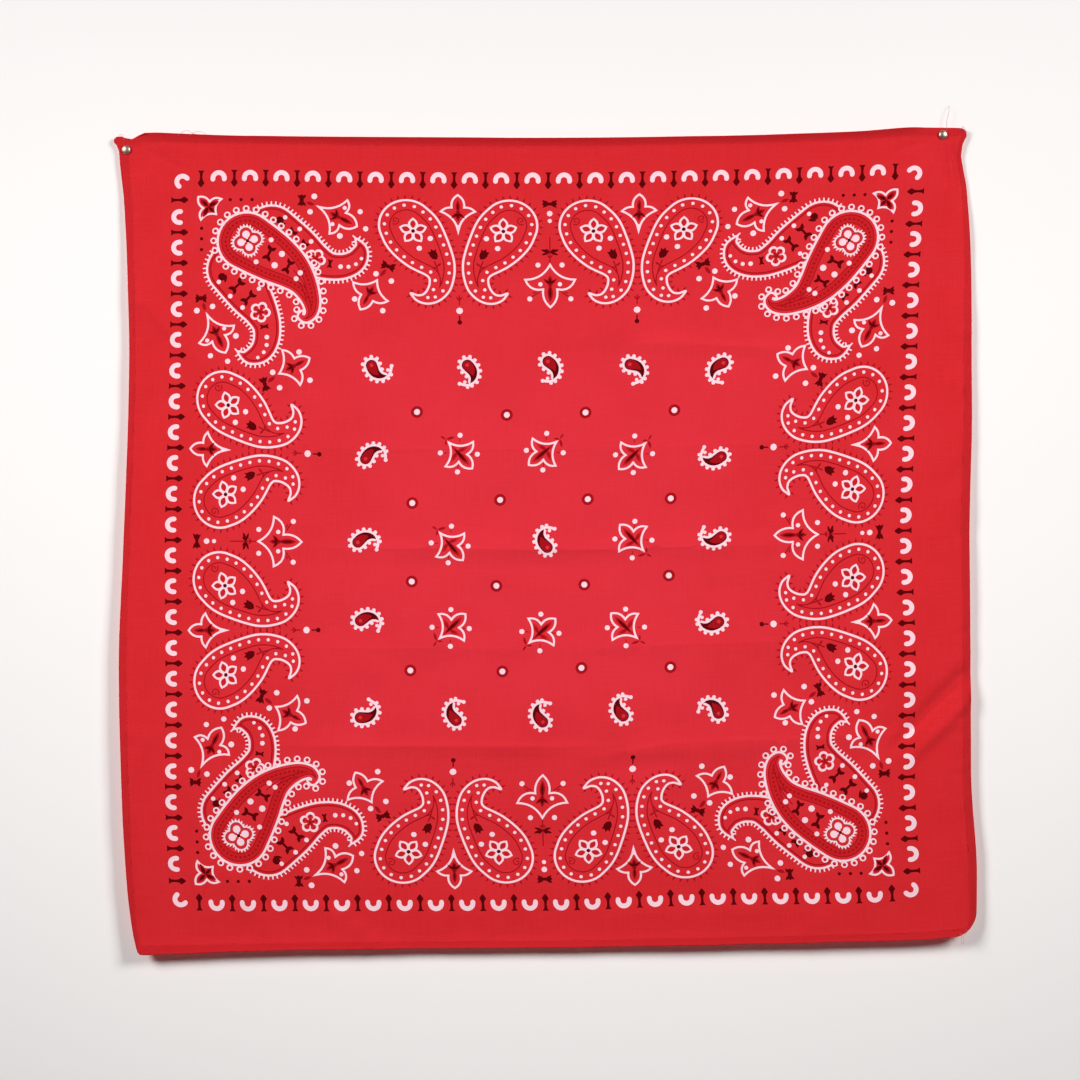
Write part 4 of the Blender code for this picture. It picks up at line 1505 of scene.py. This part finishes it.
class BANDANA_OT_pins(bpy.types.Operator):
    """Turns the two domed steel wall pins"""
    bl_idname = "bandana.pins"
    bl_label = "Set the wall pins"

    def execute(self, context):
        sizes = context.scene.bandana_pins
        seat = PIN_SEAT_STAND + HEAD_CLEAR
        head, shank, rim, dome = (
            size / MM for size in (sizes.head_radius, sizes.shank_radius, sizes.rim, sizes.dome))
        rise = np.linspace(pi / 2, 0.0, DOME_STEPS)
        profile = [(0.0, seat + rim + dome)]
        profile += [(head * np.cos(t), seat + rim + dome * np.sin(t)) for t in rise[1:]]
        profile += [(head, seat + RIM_BEVEL), (head - RIM_BEVEL, seat), (shank + SHANK_BEVEL, seat),
                    (shank, seat - SHANK_BEVEL), (shank, -SHANK_END), (0.0, -POINT_END)]
        finish = steel_finish("bright_steel", sizes.colour)
        around = 2.0 * pi * np.arange(sizes.sides) / sizes.sides
        for name, (x, z) in PINS.items():
            rings = [[(x + r * np.cos(t), -h, z + r * np.sin(t)) for t in around] for r, h in profile[1:-1]]
            points = [point for ring in rings for point in ring]
            points = [(x, -profile[0][1], z), *points, (x, -profile[-1][1], z)]
            count, last = sizes.sides, len(points) - 1
            faces = [(0, 1 + k, 1 + (k + 1) % count) for k in range(count)]
            for row in range(len(rings) - 1):
                first = 1 + row * count
                below = first + count
                faces += [(first + k, below + k, below + (k + 1) % count, first + (k + 1) % count)
                          for k in range(count)]
            first = 1 + (len(rings) - 1) * count
            faces += [(last, first + (k + 1) % count, first + k) for k in range(count)]
            piece = new_piece(f"domed_{name}", np.array(points) * MM, faces, [finish])
            piece.data.set_sharp_from_angle(angle=radians(40.0))
            on_body(piece, "pin_steel", name)
        return {"FINISHED"}


LIGHTS = (
    # name, place, share of the power, size, spread in degrees
    ("light_left", (-1.25, -1.25, 0.42), 0.72, 0.6, 72.0),
    ("light_right", (1.25, -1.25, 0.42), 1.02, 0.6, 92.0),
    ("light_back_left", (-1.1, 1.4, 0.5), 2.3, 0.9, 180.0),
    ("light_back_right", (1.3, 1.2, 0.3), 1.9, 0.9, 180.0),
)


def aim(item, place, target):
    item.location = place
    item.rotation_euler = (Vector(target) - Vector(place)).to_track_quat("-Z", "Y").to_euler()


class BANDANA_OT_stage(bpy.types.Operator):
    """Sets the wall, the floor, the soft lights and the camera"""
    bl_idname = "bandana.stage"
    bl_label = "Set the stage"

    def execute(self, context):
        sizes, scene = context.scene.bandana_stage, context.scene
        half, low = sizes.wall_half, -sizes.floor_depth
        wall = new_piece("stage_wall", [(-half, 0, low), (half, 0, low), (half, 0, half), (-half, 0, half)],
                         [(0, 1, 2, 3)], [wall_finish("wall_paint", sizes.wall_colour)])
        wall.visible_shadow = False
        corners = [(x, y, low) for x, y in ((-half, -FLOOR_HALF), (half, -FLOOR_HALF),
                                            (half, FLOOR_HALF), (-half, FLOOR_HALF))]
        floor = new_piece("stage_floor", corners, [(0, 1, 2, 3)],
                          [wall_finish("floor_paint", sizes.wall_colour)])
        for name, place, power, size, spread_angle in LIGHTS:
            light = bpy.data.lights.new(name, "AREA")
            light.energy, light.size, light.spread = sizes.light_power * power, size, radians(spread_angle)
            lamp = bpy.data.objects.new(name, light)
            scene.collection.objects.link(lamp)
            aim(lamp, place, LIGHT_TARGET)
        world = bpy.data.worlds.new("pale_room")
        world.use_nodes = True
        connect(world.node_tree.nodes["Background"], {"Color": UNSHADED, "Strength": WORLD_STRENGTH})
        scene.world = world
        scene.view_settings.view_transform = "Standard"
        camera = bpy.data.objects.new("camera", bpy.data.cameras.new("camera"))
        camera.data.lens, camera.data.sensor_width = sizes.camera_lens, SENSOR_WIDTH
        scene.collection.objects.link(camera)
        x, y, z = CAMERA_TARGET
        aim(camera, (x, y - sizes.camera_away, z), CAMERA_TARGET)
        scene.camera = camera
        return {"FINISHED"}


class BANDANA_PT_panel(bpy.types.Panel):
    """Lists the bandana's sizes, colours and steps"""
    bl_idname = "BANDANA_PT_panel"
    bl_label = "Pinned Bandana"
    bl_space_type = "VIEW_3D"
    bl_region_type = "UI"
    bl_category = "Bandana"

    def draw(self, context):
        for title, group, steps in GROUPS:
            box = self.layout.box()
            box.label(text=title)
            settings = getattr(context.scene, group)
            for name in settings.bl_rna.properties.keys():
                if name not in ("rna_type", "name"):
                    box.prop(settings, name)
            for step in steps:
                box.operator(step.bl_idname)


GROUPS = (
    ("Cloth", "bandana_cloth", (BANDANA_OT_hems, BANDANA_OT_panel)),
    ("Stitches and threads", "bandana_stitches", (BANDANA_OT_stitches, BANDANA_OT_threads)),
    ("Wall pins", "bandana_pins", (BANDANA_OT_pins,)),
    ("Stage", "bandana_stage", (BANDANA_OT_stage,)),
)
PROPERTY_GROUPS = {"bandana_cloth": ClothSizes, "bandana_stitches": StitchSizes, "bandana_pins": PinSizes,
                   "bandana_stage": StageSizes}
CLASSES = (*PROPERTY_GROUPS.values(), *(step for _, _, steps in GROUPS for step in steps), BANDANA_PT_panel)


def register():
    for item in CLASSES:
        bpy.utils.register_class(item)
    for name, group in PROPERTY_GROUPS.items():
        setattr(bpy.types.Scene, name, PointerProperty(type=group))


def unregister():
    for name in PROPERTY_GROUPS:
        delattr(bpy.types.Scene, name)
    for item in reversed(CLASSES):
        bpy.utils.unregister_class(item)


def main():
    register()
    bpy.ops.bandana.hems()
    bpy.ops.bandana.panel()
    bpy.ops.bandana.stitches()
    bpy.ops.bandana.threads()
    bpy.ops.bandana.pins()
    bpy.ops.bandana.stage()


if __name__ == "__main__":
    main()
